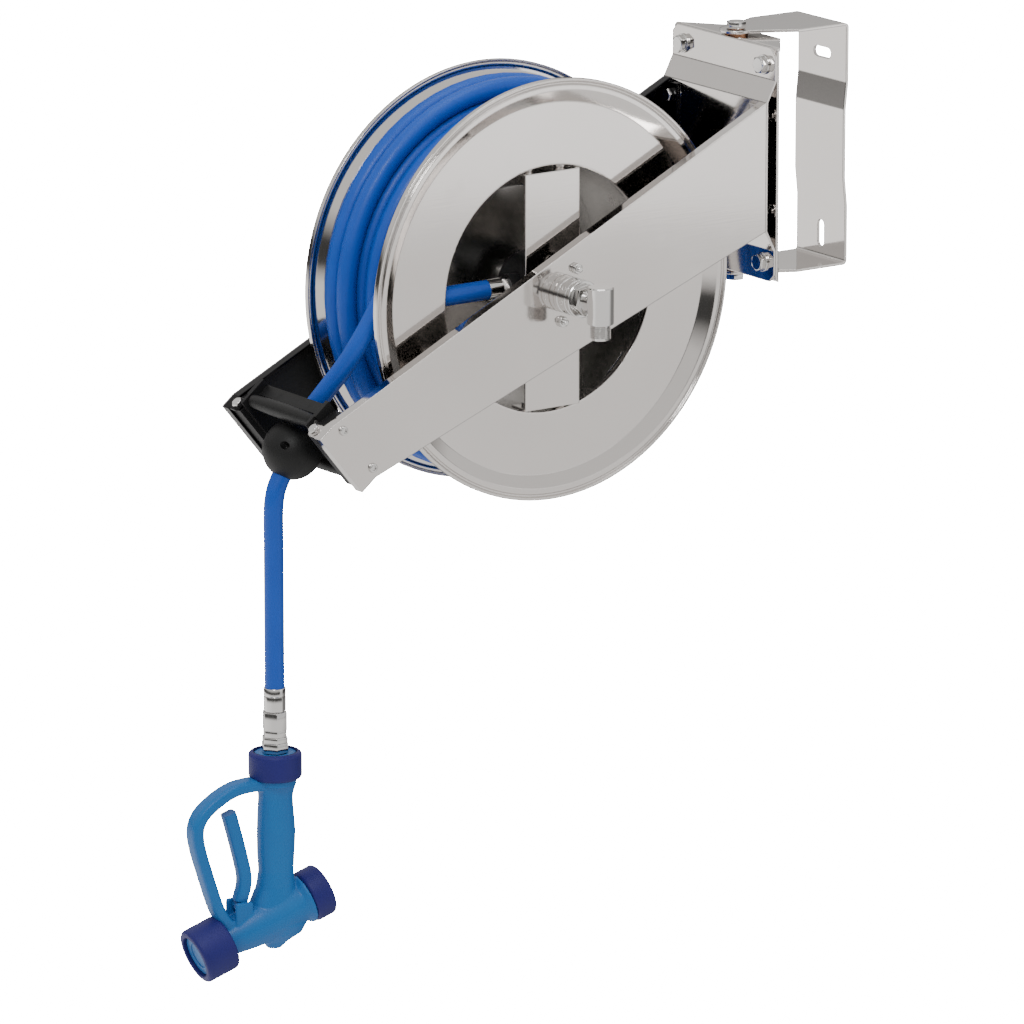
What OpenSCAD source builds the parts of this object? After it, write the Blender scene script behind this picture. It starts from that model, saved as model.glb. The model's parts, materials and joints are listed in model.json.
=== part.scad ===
// Spring-rewind hose reel on a swivelling wall bracket, with its hose, ball stop and washing gun.
// Origin: on the wall plane, on the bracket's upper foot. +X along the drum axis, +Y into the wall.

/* [Wall bracket] */
// Width of the wall bracket
bracket_w = 82; // [60:1:120]
// Overall height of the wall bracket
bracket_h = 253; // [220:1:320]
// Distance from the wall to the swivel axis
bracket_reach = 113; // [95:1:160]
// Thickness of the wall bracket's sheet
bracket_t = 3; // [2:0.5:5]
// How far the middle of the bracket stands off the wall
joggle = 3; // [1:0.5:5]
// Length of each fixing slot
slot_len = 28; // [16:1:40]
// Width of each fixing slot
slot_w = 10.5; // [6:0.5:14]

/* [Frame] */
// Thickness of the yoke's sheet
yoke_t = 3; // [2:0.5:4]
// Thickness of the arm and hat plate sheet
arm_t = 2.5; // [1.5:0.5:3]
// Depth of the fold round an arm
arm_fold = 12; // [8:1:18]
// Height of an arm where it meets the hat plate
arm_root_h = 133; // [110:1:150]
// Length of an arm's outlet end
mouth_len = 78; // [70:1:100]
// Clear space between a disc's rim and the arm beside it
side_gap = 22; // [20:1:40]
// Clear space between the discs and the swivel axis
disc_gap = 57; // [50:1:90]
// Height of the swivel bracket's centre above the drum axis
drum_drop = 100; // [80:1:130]

/* [Drum] */
// Outer diameter of the two discs
disc_d = 430; // [400:1:520]
// Width of the drum over both rims
drum_w = 128; // [120:1:170]
// Diameter of the hub that the hose winds on
hub_d = 258; // [230:1:270]
// Thickness of the disc sheet
disc_t = 1.5; // [1:0.25:2.5]
// Width of the bridge plate across the front opening
bridge_w = 66; // [50:1:80]
// Radius of the rear axle
axle_r = 10; // [8:0.5:12]
// Radius of the hollow water shaft
shaft_r = 12; // [10:0.5:14]

/* [Hose] */
// Outer diameter of the hose
hose_d = 20; // [18:0.5:21]
// Diameter of the ball stop
ball_d = 60; // [50:1:64]
// Outer diameter of the inlet pipe thread
thread_d = 20.955; // [16:0.001:26.5]

/* [Washing gun] */
// Turn of the gun about the hanging hose
gun_twist = 7; // [0:1:45]
// Diameter of the rubber ring round the inlet
inlet_ring_d = 54; // [50:1:60]
// Diameter of the rubber ring round the nozzle
front_ring_d = 58; // [54:1:64]
// Diameter of the rubber ring at the rear of the barrel
rear_ring_d = 54; // [50:1:60]

/* [Hidden] */
$fn = 64;
steel = [0.78, 0.77, 0.76];
dark_steel = [0.55, 0.54, 0.53];
bronze = [0.80, 0.58, 0.42];
black = [0.12, 0.12, 0.13];
hose_blue = [0.11, 0.36, 0.75];
gun_blue = [0.20, 0.47, 0.72];
ring_blue = [0.16, 0.17, 0.48];

// Clearances
face_gap = 0.3;
running_gap = 0.06;
swivel_gap = 2.5;
bush_gap = 0.05;

// Wall bracket and swivel
bracket_half = bracket_h / 2;
yoke_half = bracket_half - bracket_t - swivel_gap;
slot_top_z = 90;
slot_low_z = -100;
slot_thick = slot_w / 2;
nose_r = 17;
pivot_r = 6;
pivot_head_h = 7.5;
pivot_head_af = 18;
bush_r = 8;
bush_flange_r = 12;
bend_r = 5;
joggle_out_z = 64.5;
datum_z = 75;
joggle_in_z = 36;
taper_start = 64;

// Frame
frame_w = drum_w + 2 * (side_gap + arm_t);
arm_in = frame_w / 2 - arm_t;
yoke_front = -bracket_reach - 13.5;
yoke_back = yoke_front + yoke_t;
hat_front = yoke_front - arm_t;
web_depth = 11;
web_front = hat_front - web_depth;
yoke_nose = 22;
yoke_nose_w = 102;
base_bolt_x = frame_w / 2 - 19.5;
base_bolt_z = yoke_half - 19;
hat_crease_z = yoke_half - 33;
hat_web_z = arm_root_h / 2 + 0.3;
arm_bolt_x = arm_in - 12;
arm_bolt_z = arm_root_h / 2 - 17;
m10 = 5;
m8 = 4;

// Drum
drum_y = -bracket_reach - disc_gap - disc_d / 2;
drum_z = -drum_drop;
disc_r = disc_d / 2;
rim_x = drum_w / 2;
flat_x = rim_x - 9;
hub_r = hub_d / 2;
lip_r = hub_r - 3;
lip_len = 5;
case_r = 94;
case_back = flat_x - lip_len - 0.1;
cover_x = -12;
bridge_x = rim_x - 3;
bridge_t = 2;
ratchet_x = -rim_x - 8;
ratchet_t = 6;
ratchet_r = 34;
ratchet_teeth = 12;
tail_x = 38;
tail_z = 4;
pawl_reach = 56;
pawl_lift = -30;
pawl_a = 25;

// Winding: two full layers, a third that leaves the lane nearest the front disc to the run,
// and two turns piled on top of that against the rear disc
lane = 21;
layer = 17.3;
wound_half = 2.5 * lane;
wound_in = hub_r + 0.3;
wound_r = wound_in + hose_d + layer;
third_r = wound_r + layer;
fourth_r = third_r + hose_d;
run_r = wound_r + hose_d / 2 + 0.5;

// Outlet: u runs up the mouth, n points out of it
mouth_y = drum_y - disc_r - 58.4;
mouth_z = drum_z - 138.6;
mouth_tilt = 39.4;
mouth_up = [-sin(mouth_tilt), cos(mouth_tilt)];
mouth_out = [-cos(mouth_tilt), -sin(mouth_tilt)];
lug_depth = 17;
foot_cut = 21;
lug_reach = 26;
guide_n = -24.5;
guide_depth = 116;
guide_screw_u = 27.5;
roller_r = 7.5;
roller_u = mouth_len / 2 - 1;
roller_n = -18;
side_roller_x = 24;
side_roller_n = -33;
cheek_in = 55.5;
roller_half = cheek_in - 1.5;
side_roller_half = 27;
pin_r = 3;

// Hose run: from its tangent on the winding, through the ball stop, to the ferrule
ball_at = [0, -658.4, -238.6];
ball_tilt = 27.9;
ball_dir = [0, -sin(ball_tilt), -cos(ball_tilt)];
run_points = [[42, -542, -17], [42, -560, -52], [42, -578, -87], [40, -590, -109], [35, -602, -132],
    [27, -613, -154], [17, -624, -174], [8, -633, -191], [2, -639, -202], ball_at - ball_dir * 32,
    ball_at, ball_at + ball_dir * 32, [0, -677.6, -276], [0, -680.2, -287], [0, -681.3, -300],
    [0, -681.3, -330], [0, -681.3, -370], [0, -681.3, -410], [0, -681.3, -445], [0, -681.3, -479]];
run_sides = 12;
hang_y = -681.3;
hang_z = -479;
ferrule_r = 11;
ferrule_len = 24;
nut_len = 19;
nipple_len = 29;
spigot_r = 9;
spigot_len = 16;
inlet_top = hang_z - ferrule_len - 0.5 - nut_len - nipple_len + 6;

// Washing gun, in its own frame: barrel and hose axes cross at its origin
gun_drop = 170;
socket_r = 21.5;
head_r = 21.5;
head_start = 84;
gun_z = inlet_top - gun_drop;
barrel_tilt = 20;
barrel_front = 97.5;
barrel_rear = 57;
barrel_r = 17;
front_ring_len = 37;
rear_ring_len = 23;
inlet_ring_len = 28;
trigger_y = -41;
trigger_z = 14;
trigger_w = 14;
trigger_pin_r = 2.5;
stem_r = 4;

// Elbow and swivel
swivel_r = 19;
swivel_len = 26;
swivel_nut_len = 9;
elbow_x = frame_w / 2 + 54.5;
elbow_r = 13.5;
elbow_top = 18;
elbow_low = -19.7;
thread_len = 16;
swivel_bolt_r = 27.5;
swivel_bolt_a = 72;

// Vector helpers
function unit(v) = v / norm(v);
function turned(v) = [-v[1], v[0]];

// Arc of radius r that rounds the corner b of the path a, b, c
function corner(a, b, c, r, n = 5) =
    let (u = unit(a - b), v = unit(c - b), half = acos(max(-1, min(1, u * v))) / 2)
    let (cut = r / tan(half), mid = b + unit(u + v) * r / sin(half))
    let (from = b + u * cut - mid, to = b + v * cut - mid)
    let (sweep = 180 - 2 * half, side = (from[0] * to[1] - from[1] * to[0]) > 0 ? 1 : -1)
    [for (i = [0:n]) let (q = side * sweep * i / n)
        mid + [from[0] * cos(q) - from[1] * sin(q), from[0] * sin(q) + from[1] * cos(q)]];

// Path with its inner corners rounded
function rounded(path, r) =
    let (last = len(path) - 1)
    concat([path[0]], [for (i = [1:last - 1]) each corner(path[i - 1], path[i], path[i + 1], r)],
        [path[last]]);

// Point i of a path moved sideways by d, on the mitre of its neighbours
function shifted(path, i, d) =
    let (last = len(path) - 1)
    let (a = unit(path[max(i, 1)] - path[max(i, 1) - 1]))
    let (b = unit(path[min(i, last - 1) + 1] - path[min(i, last - 1)]))
    let (m = unit(turned(a) + turned(b)))
    path[i] + m * d / (m * turned(a));

// Outline of a bent sheet: the path is its one face and t its thickness, to the path's left
function sheet(path, t) =
    concat(path, [for (i = [len(path) - 1:-1:0]) shifted(path, i, t)]);

// Closed outline moved inwards by d, for points given anticlockwise
function inset(points, d) =
    let (n = len(points))
    [for (i = [0:n - 1])
        let (a = unit(points[i] - points[(i + n - 1) % n]), b = unit(points[(i + 1) % n] - points[i]))
        let (m = unit(turned(a) + turned(b)))
        points[i] + m * d / (m * turned(a))];

// Extrude an outline drawn in Y and Z along X, from x0 to x1
module along_x(x0, x1) {
    translate([x0, 0, 0]) rotate([90, 0, 90]) linear_extrude(x1 - x0) children();
}

// Rod along X, from x0 to x1
module rod(x0, x1, r) {
    translate([x0, 0, 0]) rotate([0, 90, 0]) cylinder(h = x1 - x0, r = r);
}

// Hexagonal bar along Z
module hex(h, af) {
    cylinder(h = h, r = af / sqrt(3), $fn = 6);
}

// Hexagonal bar along X, from x0 to x1
module hex_x(x0, x1, af) {
    translate([x0, 0, 0]) rotate([0, 90, 0]) hex(x1 - x0, af);
}

// Bolt pointing down -Z from the plane of its head
module bolt(r, length, af, head_h) {
    hex(head_h, af);
    translate([0, 0, -length]) cylinder(h = length, r = r);
}

module nut(r, af, h) {
    difference() {
        hex(h, af);
        translate([0, 0, -1]) cylinder(h = h + 2, r = r);
    }
}

// Solid of revolution about X
module turned_x() {
    rotate([0, 90, 0]) rotate_extrude() children();
}

module at_drum() {
    translate([0, drum_y, drum_z]) children();
}

module at_pivots() {
    for (side = [0, 1]) mirror([0, 0, side]) translate([0, -bracket_reach, 0]) children();
}

// Frame of the outlet: its local Y runs up the mouth and its local Z out of it
module at_mouth() {
    translate([0, mouth_y, mouth_z]) rotate([90 + mouth_tilt, 0, 0]) children();
}

function mouth_point(u, n) = [mouth_y, mouth_z] + mouth_up * u + mouth_out * n;

// Colour a sub-part and set it down from the datum, which is on the bracket's upper foot
module made(paint) {
    translate([0, 0, -datum_z]) color(paint) children();
}

// ---------------------------------------------------------------- wall bracket and swivel

module bracket_plan() {
    half = bracket_w / 2;
    polygon([[-half, 1], [-half, -taper_start], [-nose_r, -bracket_reach + 4], [nose_r, -bracket_reach + 4],
        [half, -taper_start], [half, 1]]);
    translate([0, -bracket_reach]) circle(nose_r);
}

module slot(length, width) {
    reach = (length - width) / 2;
    square([2 * reach, width], center = true);
    for (side = [-1, 1]) translate([side * reach, 0]) circle(width / 2);
}

module wall_bracket() {
    nose = -bracket_reach - nose_r;
    path = rounded([[nose, bracket_half], [0, bracket_half], [0, joggle_out_z], [-joggle, joggle_in_z],
        [-joggle, -joggle_in_z], [0, -joggle_out_z], [0, -bracket_half], [nose, -bracket_half]], bend_r);
    made(steel) difference() {
        intersection() {
            along_x(-bracket_w / 2, bracket_w / 2) polygon(sheet(path, -bracket_t));
            translate([0, 0, -bracket_half - 1]) linear_extrude(bracket_h + 2) bracket_plan();
        }
        translate([0, 1, slot_top_z]) rotate([90, 0, 0]) linear_extrude(bracket_t + 2) slot(slot_len, slot_w);
        translate([0, 1, slot_low_z]) rotate([90, 90, 0]) linear_extrude(bracket_t + 2) slot(slot_len, slot_w);
        at_pivots() translate([0, 0, yoke_half]) cylinder(h = 20, r = bush_r);
    }
}

module pivot_bushes() {
    made(bronze) at_pivots() difference() {
        union() {
            translate([0, 0, yoke_half + bush_gap]) cylinder(h = swivel_gap - bush_gap, r = bush_flange_r);
            translate([0, 0, bracket_half - bracket_t]) cylinder(h = bracket_t + face_gap, r = bush_r);
        }
        translate([0, 0, yoke_half - 1]) cylinder(h = 20, r = pivot_r + running_gap);
    }
}

module pivot_bolts() {
    made(steel) at_pivots() translate([0, 0, bracket_half + 2 * face_gap])
        bolt(pivot_r, bracket_half + 2 * face_gap - yoke_half + yoke_t + 13, pivot_head_af, pivot_head_h);
}

module pivot_nuts() {
    made(steel) at_pivots() translate([0, 0, yoke_half - yoke_t - 10]) nut(pivot_r, pivot_head_af, 10);
}

module yoke_plan() {
    half = frame_w / 2 - 0.5;
    back = -bracket_reach + yoke_nose;
    polygon([[-half, yoke_front], [half, yoke_front], [half, yoke_front + 4], [yoke_nose_w / 2, back - 4],
        [yoke_nose_w / 2 - 5, back], [5 - yoke_nose_w / 2, back], [-yoke_nose_w / 2, back - 4],
        [-half, yoke_front + 4]]);
}

module swivel_yoke() {
    back = -bracket_reach + yoke_nose;
    path = rounded([[back, -yoke_half], [yoke_front, -yoke_half], [yoke_front, yoke_half],
        [back, yoke_half]], 4);
    made(steel) difference() {
        intersection() {
            along_x(-frame_w / 2, frame_w / 2) polygon(sheet(path, -yoke_t));
            translate([0, 0, -yoke_half - 1]) linear_extrude(2 * yoke_half + 2) yoke_plan();
        }
        at_pivots() translate([0, 0, yoke_half - 10]) cylinder(h = 20, r = pivot_r);
        base_holes();
    }
}

module at_base_bolts() {
    for (x = [-1, 1], z = [-1, 1])
        translate([x * base_bolt_x, hat_front, z * base_bolt_z]) rotate([90, 0, 0]) children();
}

module base_holes() {
    at_base_bolts() translate([0, 0, -arm_t - yoke_t - 1]) cylinder(h = arm_t + yoke_t + 2, r = m10);
}

// Front view of the hat plate: its top and bottom corners are cut
module hat_front_view() {
    half = frame_w / 2 - 0.5;
    cut = 8;
    polygon([[-half, cut - yoke_half], [cut - half, -yoke_half], [half - cut, -yoke_half],
        [half, cut - yoke_half], [half, yoke_half - cut], [half - cut, yoke_half],
        [cut - half, yoke_half], [-half, yoke_half - cut]]);
}

module at_arm_bolts() {
    for (x = [-1, 1], z = [-1, 1])
        translate([x * arm_bolt_x, web_front, z * arm_bolt_z]) rotate([90, 0, 0]) children();
}

module arm_bolt_holes() {
    at_arm_bolts() translate([0, 0, -arm_t - 1]) cylinder(h = 2 * arm_t + 2, r = m8);
}

module hat_plate() {
    path = rounded([[hat_front, -yoke_half], [hat_front, -hat_crease_z], [web_front, -hat_web_z],
        [web_front, hat_web_z], [hat_front, hat_crease_z], [hat_front, yoke_half]], 3);
    made(steel) difference() {
        intersection() {
            along_x(-frame_w / 2, frame_w / 2) polygon(sheet(path, -arm_t));
            translate([0, 0, 0]) rotate([90, 0, 0]) linear_extrude(2 * bracket_reach) hat_front_view();
        }
        base_holes();
        arm_bolt_holes();
    }
}

module base_bolts() {
    made(steel) at_base_bolts() {
        cylinder(h = 2, r = 10);
        translate([0, 0, 2]) bolt(m10, arm_t + yoke_t + 11, 16, 6.4);
    }
}

module base_nuts() {
    made(steel) at_base_bolts() translate([0, 0, -arm_t - yoke_t - 7]) nut(m10, 16, 7);
}

// ---------------------------------------------------------------- arms

function arm_outline() =
    let (up = mouth_len / 2 + 1, low = 1 - mouth_len / 2, root = arm_root_h / 2)
    [mouth_point(up, 0), mouth_point(low, 0), mouth_point(low, -foot_cut), [web_front, -root],
        [web_front, root], mouth_point(up, -lug_depth)];

// Arm as a folded tray, drawn for the +X side
module arm_tray() {
    outer = frame_w / 2;
    outline = arm_outline();
    difference() {
        along_x(outer - arm_fold, outer) polygon(outline);
        along_x(outer - arm_fold - 1, outer - arm_t) polygon(inset(outline, arm_t));
    }
    translate([arm_in - 24, web_front - arm_t, 4 - arm_root_h / 2]) cube([24.5, arm_t, arm_root_h - 8]);
    lug();
}

// Ear folded in from the arm's upper corner, with a round end
module lug() {
    up = mouth_len / 2 + 1;
    round_r = lug_depth / 2 - 0.8;
    mid = arm_in - lug_reach + lug_depth / 2;
    at_mouth() translate([0, up - arm_t + 0.05, -lug_depth / 2]) rotate([-90, 0, 0]) linear_extrude(arm_t - 0.1) {
        translate([mid, -round_r]) square([arm_in + 1 - mid, 2 * round_r]);
        translate([mid, 0]) circle(round_r);
    }
}

module at_lug_bolts() {
    for (side = [0, 1]) mirror([side, 0, 0]) at_mouth()
        translate([arm_in - lug_reach + lug_depth / 2, mouth_len / 2 + 1, -lug_depth / 2])
            rotate([-90, 0, 0]) children();
}

module at_guide_screws(side) {
    for (u = [-1, 1]) at_mouth() translate([side * frame_w / 2, u * guide_screw_u, guide_n])
        rotate([0, side * 90, 0]) children();
}

module swivel_bolt_places(x) {
    for (half = [0, 180]) at_drum() rotate([half + swivel_bolt_a, 0, 0])
        translate([x, swivel_bolt_r, 0]) rotate([0, 90, 0]) children();
}

module guide_holes() {
    for (side = [-1, 1]) at_guide_screws(side) translate([0, 0, -16]) cylinder(h = 18, r = 2.5);
    at_lug_bolts() translate([0, 0, -14]) cylinder(h = 15, r = 3);
}

module front_arm() {
    made(steel) difference() {
        arm_tray();
        arm_bolt_holes();
        guide_holes();
        at_drum() rod(arm_in - 1, frame_w / 2 + 1, 16);
        swivel_bolt_places(arm_in - 1) cylinder(h = arm_t + 2, r = 3);
    }
}

module rear_arm() {
    made(steel) difference() {
        mirror([1, 0, 0]) arm_tray();
        arm_bolt_holes();
        guide_holes();
        at_drum() rod(-frame_w / 2 - 1, 1 - arm_in, axle_r);
        pawl_place() rod(-frame_w / 2 - 1, 1 - arm_in, 4);
    }
}

module arm_bolts() {
    made(steel) at_arm_bolts() translate([0, 0, arm_t]) bolt(m8, 2 * arm_t + 8.5, 13, 5.3);
}

module arm_nuts() {
    made(steel) at_arm_bolts() translate([0, 0, -arm_t - 6.5]) nut(m8, 13, 6.5);
}

// ---------------------------------------------------------------- outlet guide

// Room inside an arm's folds
module inside_arm(x0) {
    for (side = [0, 1]) mirror([side, 0, 0])
        along_x(x0, arm_in) polygon(inset(arm_outline(), arm_t + 0.1));
}

module guide_plates() {
    made(black) difference() {
        intersection() {
            for (side = [0, 1]) mirror([side, 0, 0]) at_mouth()
                translate([arm_in - 2, -60, -guide_depth]) cube([2, 110, guide_depth - 4]);
            inside_arm(arm_in - 3);
        }
        guide_holes();
        lug_space();
    }
}

// Room that the lugs and their folds take
module lug_space() {
    for (side = [0, 1]) mirror([side, 0, 0]) at_mouth() {
        translate([arm_in - lug_reach - 1, mouth_len / 2 + 1 - arm_t, -lug_depth - 3]) cube([60, 40, 40]);
        translate([frame_w / 2 - arm_fold - 0.5, -60, -arm_t]) cube([40, 120, 20]);
    }
}

module guide_frame() {
    made(black) difference() {
        union() {
            intersection() {
                for (side = [0, 1]) mirror([side, 0, 0]) at_mouth()
                    translate([60, -36, -41]) cube([arm_in - 62, 75, 38.4]);
                inside_arm(60);
            }
            for (side = [0, 1]) mirror([side, 0, 0]) at_mouth()
                translate([cheek_in, -45, -41]) cube([5.5, 90, 33]);
            for (u = [-36.5, 31]) at_mouth()
                translate([-cheek_in - 1, u, -41]) cube([2 * cheek_in + 2, 5.5, 13.5]);
        }
        guide_holes();
        roller_pins_shape(0);
        lug_space();
    }
}

module guide_screws() {
    made(steel) for (side = [-1, 1]) at_guide_screws(side) {
        translate([0, 0, -15]) cylinder(h = 15, r = 2.5);
        difference() {
            cylinder(h = 3, r1 = 5, r2 = 4);
            translate([0, 0, 1.5]) cylinder(h = 2, r = 1.9, $fn = 6);
        }
    }
}

module lug_bolts() {
    made(steel) at_lug_bolts() bolt(3, 13, 10, 4);
}

// Barrel-shaped roller with its axle bore, along Z, centred
module roller(half, r) {
    difference() {
        union() {
            for (end = [0, 1]) mirror([0, 0, end]) cylinder(h = half, r1 = r, r2 = r - 1.5);
        }
        translate([0, 0, -half - 1]) cylinder(h = 2 * half + 2, r = pin_r + running_gap);
    }
}

module at_roller(u) {
    at_mouth() translate([0, u, roller_n]) rotate([0, 90, 0]) children();
}

module at_side_roller(x) {
    at_mouth() translate([x, 0, side_roller_n]) rotate([90, 0, 0]) children();
}

module top_roller() {
    made(black) at_roller(roller_u) roller(roller_half, roller_r + 0.5);
}

module bottom_roller() {
    made(black) at_roller(-roller_u) roller(roller_half, roller_r + 0.5);
}

module front_roller() {
    made(black) at_side_roller(side_roller_x) roller(side_roller_half, roller_r);
}

module rear_roller() {
    made(black) at_side_roller(-side_roller_x) roller(side_roller_half, roller_r);
}

module roller_pins_shape(extra) {
    for (u = [-1, 1]) at_roller(u * roller_u)
        translate([0, 0, -cheek_in - 4]) cylinder(h = 2 * cheek_in + 8, r = pin_r + extra);
    for (x = [-1, 1]) at_side_roller(x * side_roller_x)
        translate([0, 0, -34]) cylinder(h = 68, r = pin_r + extra);
}

module roller_pins() {
    made(steel) roller_pins_shape(0);
}

// ---------------------------------------------------------------- inlet swivel and axle

module front_bearing() {
    made(black) at_drum() difference() {
        union() {
            rod(arm_in - 4, arm_in, 36);
            rod(arm_in, frame_w / 2, 16);
        }
        rod(arm_in - 5, frame_w / 2 + 1, shaft_r + running_gap);
        for (half = [0, 180]) rotate([half + swivel_bolt_a, 0, 0])
            translate([0, swivel_bolt_r, 0]) rod(arm_in - 5, arm_in + 1, 3);
    }
}

module swivel_body() {
    outer = frame_w / 2;
    made(steel) at_drum() difference() {
        union() {
            rod(outer, outer + swivel_len, swivel_r);
            rod(outer + swivel_len, outer + swivel_len + 4, 11);
        }
        rod(outer - 1, outer + swivel_len - 4, shaft_r + running_gap);
        rod(outer, outer + swivel_len + 5, 6);
        for (x = [6, 19]) translate([outer + x, 0, 0]) turned_x()
            translate([swivel_r - 0.8, 0]) square([2, 1.5]);
    }
}

module swivel_bolts() {
    made(steel) swivel_bolt_places(arm_in - 4) {
        translate([0, 0, -4]) hex(4, 10);
        cylinder(h = arm_t + 4 + 9, r = 3);
        translate([0, 0, arm_t + 4]) hex(5, 10);
    }
}

module swivel_nut() {
    start = frame_w / 2 + swivel_len;
    made(steel) at_drum() difference() {
        hex_x(start, start + swivel_nut_len, 28);
        rod(start - 1, start + swivel_nut_len + 1, 11);
    }
}

module inlet_elbow() {
    start = frame_w / 2 + swivel_len + 4;
    made(steel) at_drum() difference() {
        union() {
            rod(start, elbow_x, 11);
            translate([elbow_x, 0, elbow_low]) cylinder(h = elbow_top - elbow_low, r = elbow_r);
            translate([elbow_x, 0, elbow_low - thread_len]) cylinder(h = thread_len, r = thread_d / 2);
        }
        rod(start - 1, elbow_x, 6);
        translate([elbow_x, 0, elbow_low - thread_len - 1]) cylinder(h = thread_len - elbow_low + 6, r = 7);
    }
}

module rear_axle() {
    outer = frame_w / 2;
    made(dark_steel) at_drum() {
        rod(-outer - 13, cover_x + 4, axle_r);
        rod(-arm_in, -arm_in + 5, 24);
    }
}

module axle_nut() {
    outer = frame_w / 2;
    made(steel) at_drum() difference() {
        union() {
            rod(-outer - 2, -outer, 18);
            hex_x(-outer - 11, -outer - 2, 28);
        }
        rod(-outer - 12, 1 - outer, axle_r);
    }
}

// ---------------------------------------------------------------- hose run and its fittings

// Ring of the hose's skin round point i of its run
function run_ring(i) =
    let (last = len(run_points) - 1)
    let (t = unit(run_points[min(i + 1, last)] - run_points[max(i - 1, 0)]))
    let (side = unit([1, 0, 0] - t * t[0]), up = cross(t, side))
    [for (k = [0:run_sides - 1])
        run_points[i] + (side * cos(360 * k / run_sides) + up * sin(360 * k / run_sides)) * hose_d / 2];

module hose_run() {
    last = len(run_points) - 1;
    skin = [for (i = [0:last]) each run_ring(i)];
    walls = [for (i = [0:last - 1], k = [0:run_sides - 1])
        [i * run_sides + k, i * run_sides + (k + 1) % run_sides,
            (i + 1) * run_sides + (k + 1) % run_sides, (i + 1) * run_sides + k]];
    start_cap = [for (k = [run_sides - 1:-1:0]) k];
    end_cap = [for (k = [0:run_sides - 1]) last * run_sides + k];
    made(hose_blue) polyhedron(skin, concat([start_cap, end_cap], walls));
}

module at_ball() {
    translate(ball_at) rotate([-ball_tilt, 0, 0]) children();
}

// One half of the ball stop: the half on the side of +Y
module ball_half() {
    difference() {
        intersection() {
            sphere(r = ball_d / 2);
            translate([-ball_d, 0, -ball_d]) cube(2 * ball_d);
        }
        translate([0, 0, -ball_d]) cylinder(h = 2 * ball_d, r = hose_d / 2 + 0.3);
        ball_screw_places() translate([0, 0, -ball_d]) cylinder(h = 2 * ball_d, r = 2);
        ball_screw_places() translate([0, 0, -ball_d - 14]) cylinder(h = ball_d, r = 4);
    }
}

module ball_screw_places() {
    for (side = [-1, 1]) translate([side * 18, 0, 0]) rotate([90, 0, 0]) children();
}

module ball_inner() {
    made(black) at_ball() ball_half();
}

module ball_outer() {
    made(black) at_ball() rotate([0, 0, 180]) ball_half();
}

module ball_screws() {
    made(steel) at_ball() ball_screw_places() {
        translate([0, 0, -14]) cylinder(h = 28, r = 2);
        for (end = [14, -17]) translate([0, 0, end]) cylinder(h = 3, r = 3.8);
    }
}

module at_hang(z) {
    translate([0, hang_y, z]) children();
}

module hose_ferrule() {
    made(steel) at_hang(hang_z - ferrule_len) {
        hex(15.5, 21);
        translate([0, 0, 15.5]) cylinder(h = 8.5, r = ferrule_r);
    }
}

module hose_nut() {
    top = hang_z - ferrule_len - 0.5;
    made(steel) at_hang(top - nut_len) {
        hex(nut_len, 23);
        translate([0, 0, nut_len]) cylinder(h = 0.5, r = 9);
    }
}

module hose_nipple() {
    top = hang_z - ferrule_len - 0.5 - nut_len;
    made(steel) {
        at_hang(top - 7) hex(7, 22);
        at_hang(top - 13) hex(6, 24);
        at_hang(top - 23) hex(10, 25);
        at_hang(top - nipple_len) cylinder(h = 6, r = 11);
        at_hang(top - nipple_len - spigot_len) cylinder(h = spigot_len, r = spigot_r);
    }
}

// ---------------------------------------------------------------- drum

// Half section of a pressed disc: radius and distance along the axis
function disc_path() = concat([[lip_r, flat_x - lip_len]],
    rounded([[lip_r, flat_x - lip_len + 0.5], [lip_r, flat_x], [disc_r - 25, flat_x],
        [disc_r - 12, rim_x - 0.5], [disc_r - 7, rim_x - 0.5], [disc_r - 5.6, rim_x - 2.4],
        [disc_r - 4.2, rim_x - 2.4], [disc_r - 2.8, rim_x], [disc_r, rim_x], [disc_r, rim_x - 6]], 0.6));

module disc() {
    turned_x() polygon(sheet(disc_path(), -disc_t));
}

module front_disc() {
    made(steel) at_drum() disc();
}

module rear_disc() {
    made(steel) at_drum() mirror([1, 0, 0]) disc();
}

// Tail hose port, and a ring of slots near the front edge
module hub_cuts() {
    translate([tail_x, 0, tail_z]) rotate([90, 0, 0]) cylinder(h = hub_r + 5, r = hose_d / 2 + 1.5);
    for (k = [0:11]) rotate([30 * k + 15, 0, 0])
        translate([flat_x - lip_len - 7, -13, hub_r - 6]) cube([1.6, 26, 10]);
}

module hub_shell() {
    length = flat_x - disc_t;
    made(dark_steel) at_drum() difference() {
        union() {
            difference() {
                rod(-length, length, hub_r);
                rod(-length - 1, length + 1, hub_r - 1.5);
            }
            difference() {
                rod(2 - case_back, 4 - case_back, hub_r - 1.5);
                rod(1 - case_back, 5 - case_back, hub_r - 20);
            }
        }
        hub_cuts();
        case_screw_places(0) rod(-case_back, 6 - case_back, 2.5);
        bridge_screw_places() cylinder(h = 20, r = 2.5);
    }
}

module case_screw_places(x) {
    for (k = [0:5]) rotate([60 * k + 30, 0, 0]) translate([x, 0, hub_r - 12]) children();
}

// Screws that hold the bridge plate's feet to the hub, pointing outwards
module bridge_screw_places() {
    for (side = [0, 1], y = [-20, 20]) rotate([180 * side, 0, 0])
        translate([bridge_x - 18, y, hub_r - 10]) children();
}

module bridge_plate() {
    foot = hub_r - 8;
    made(steel) at_drum() difference() {
        union() {
            translate([0, bridge_w / 2, 0]) rotate([90, 0, 0]) linear_extrude(bridge_w) bridge_outline(foot);
            intersection() {
                bridge_screw_places() cylinder(h = 20, r = 7);
                rod(0, rim_x, hub_r - 1.5);
            }
        }
        rod(0, rim_x, shaft_r + 1);
        bridge_screw_places() translate([0, 0, -5]) cylinder(h = 20, r = 2.5);
        hub_boss_screws(0);
    }
}

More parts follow.
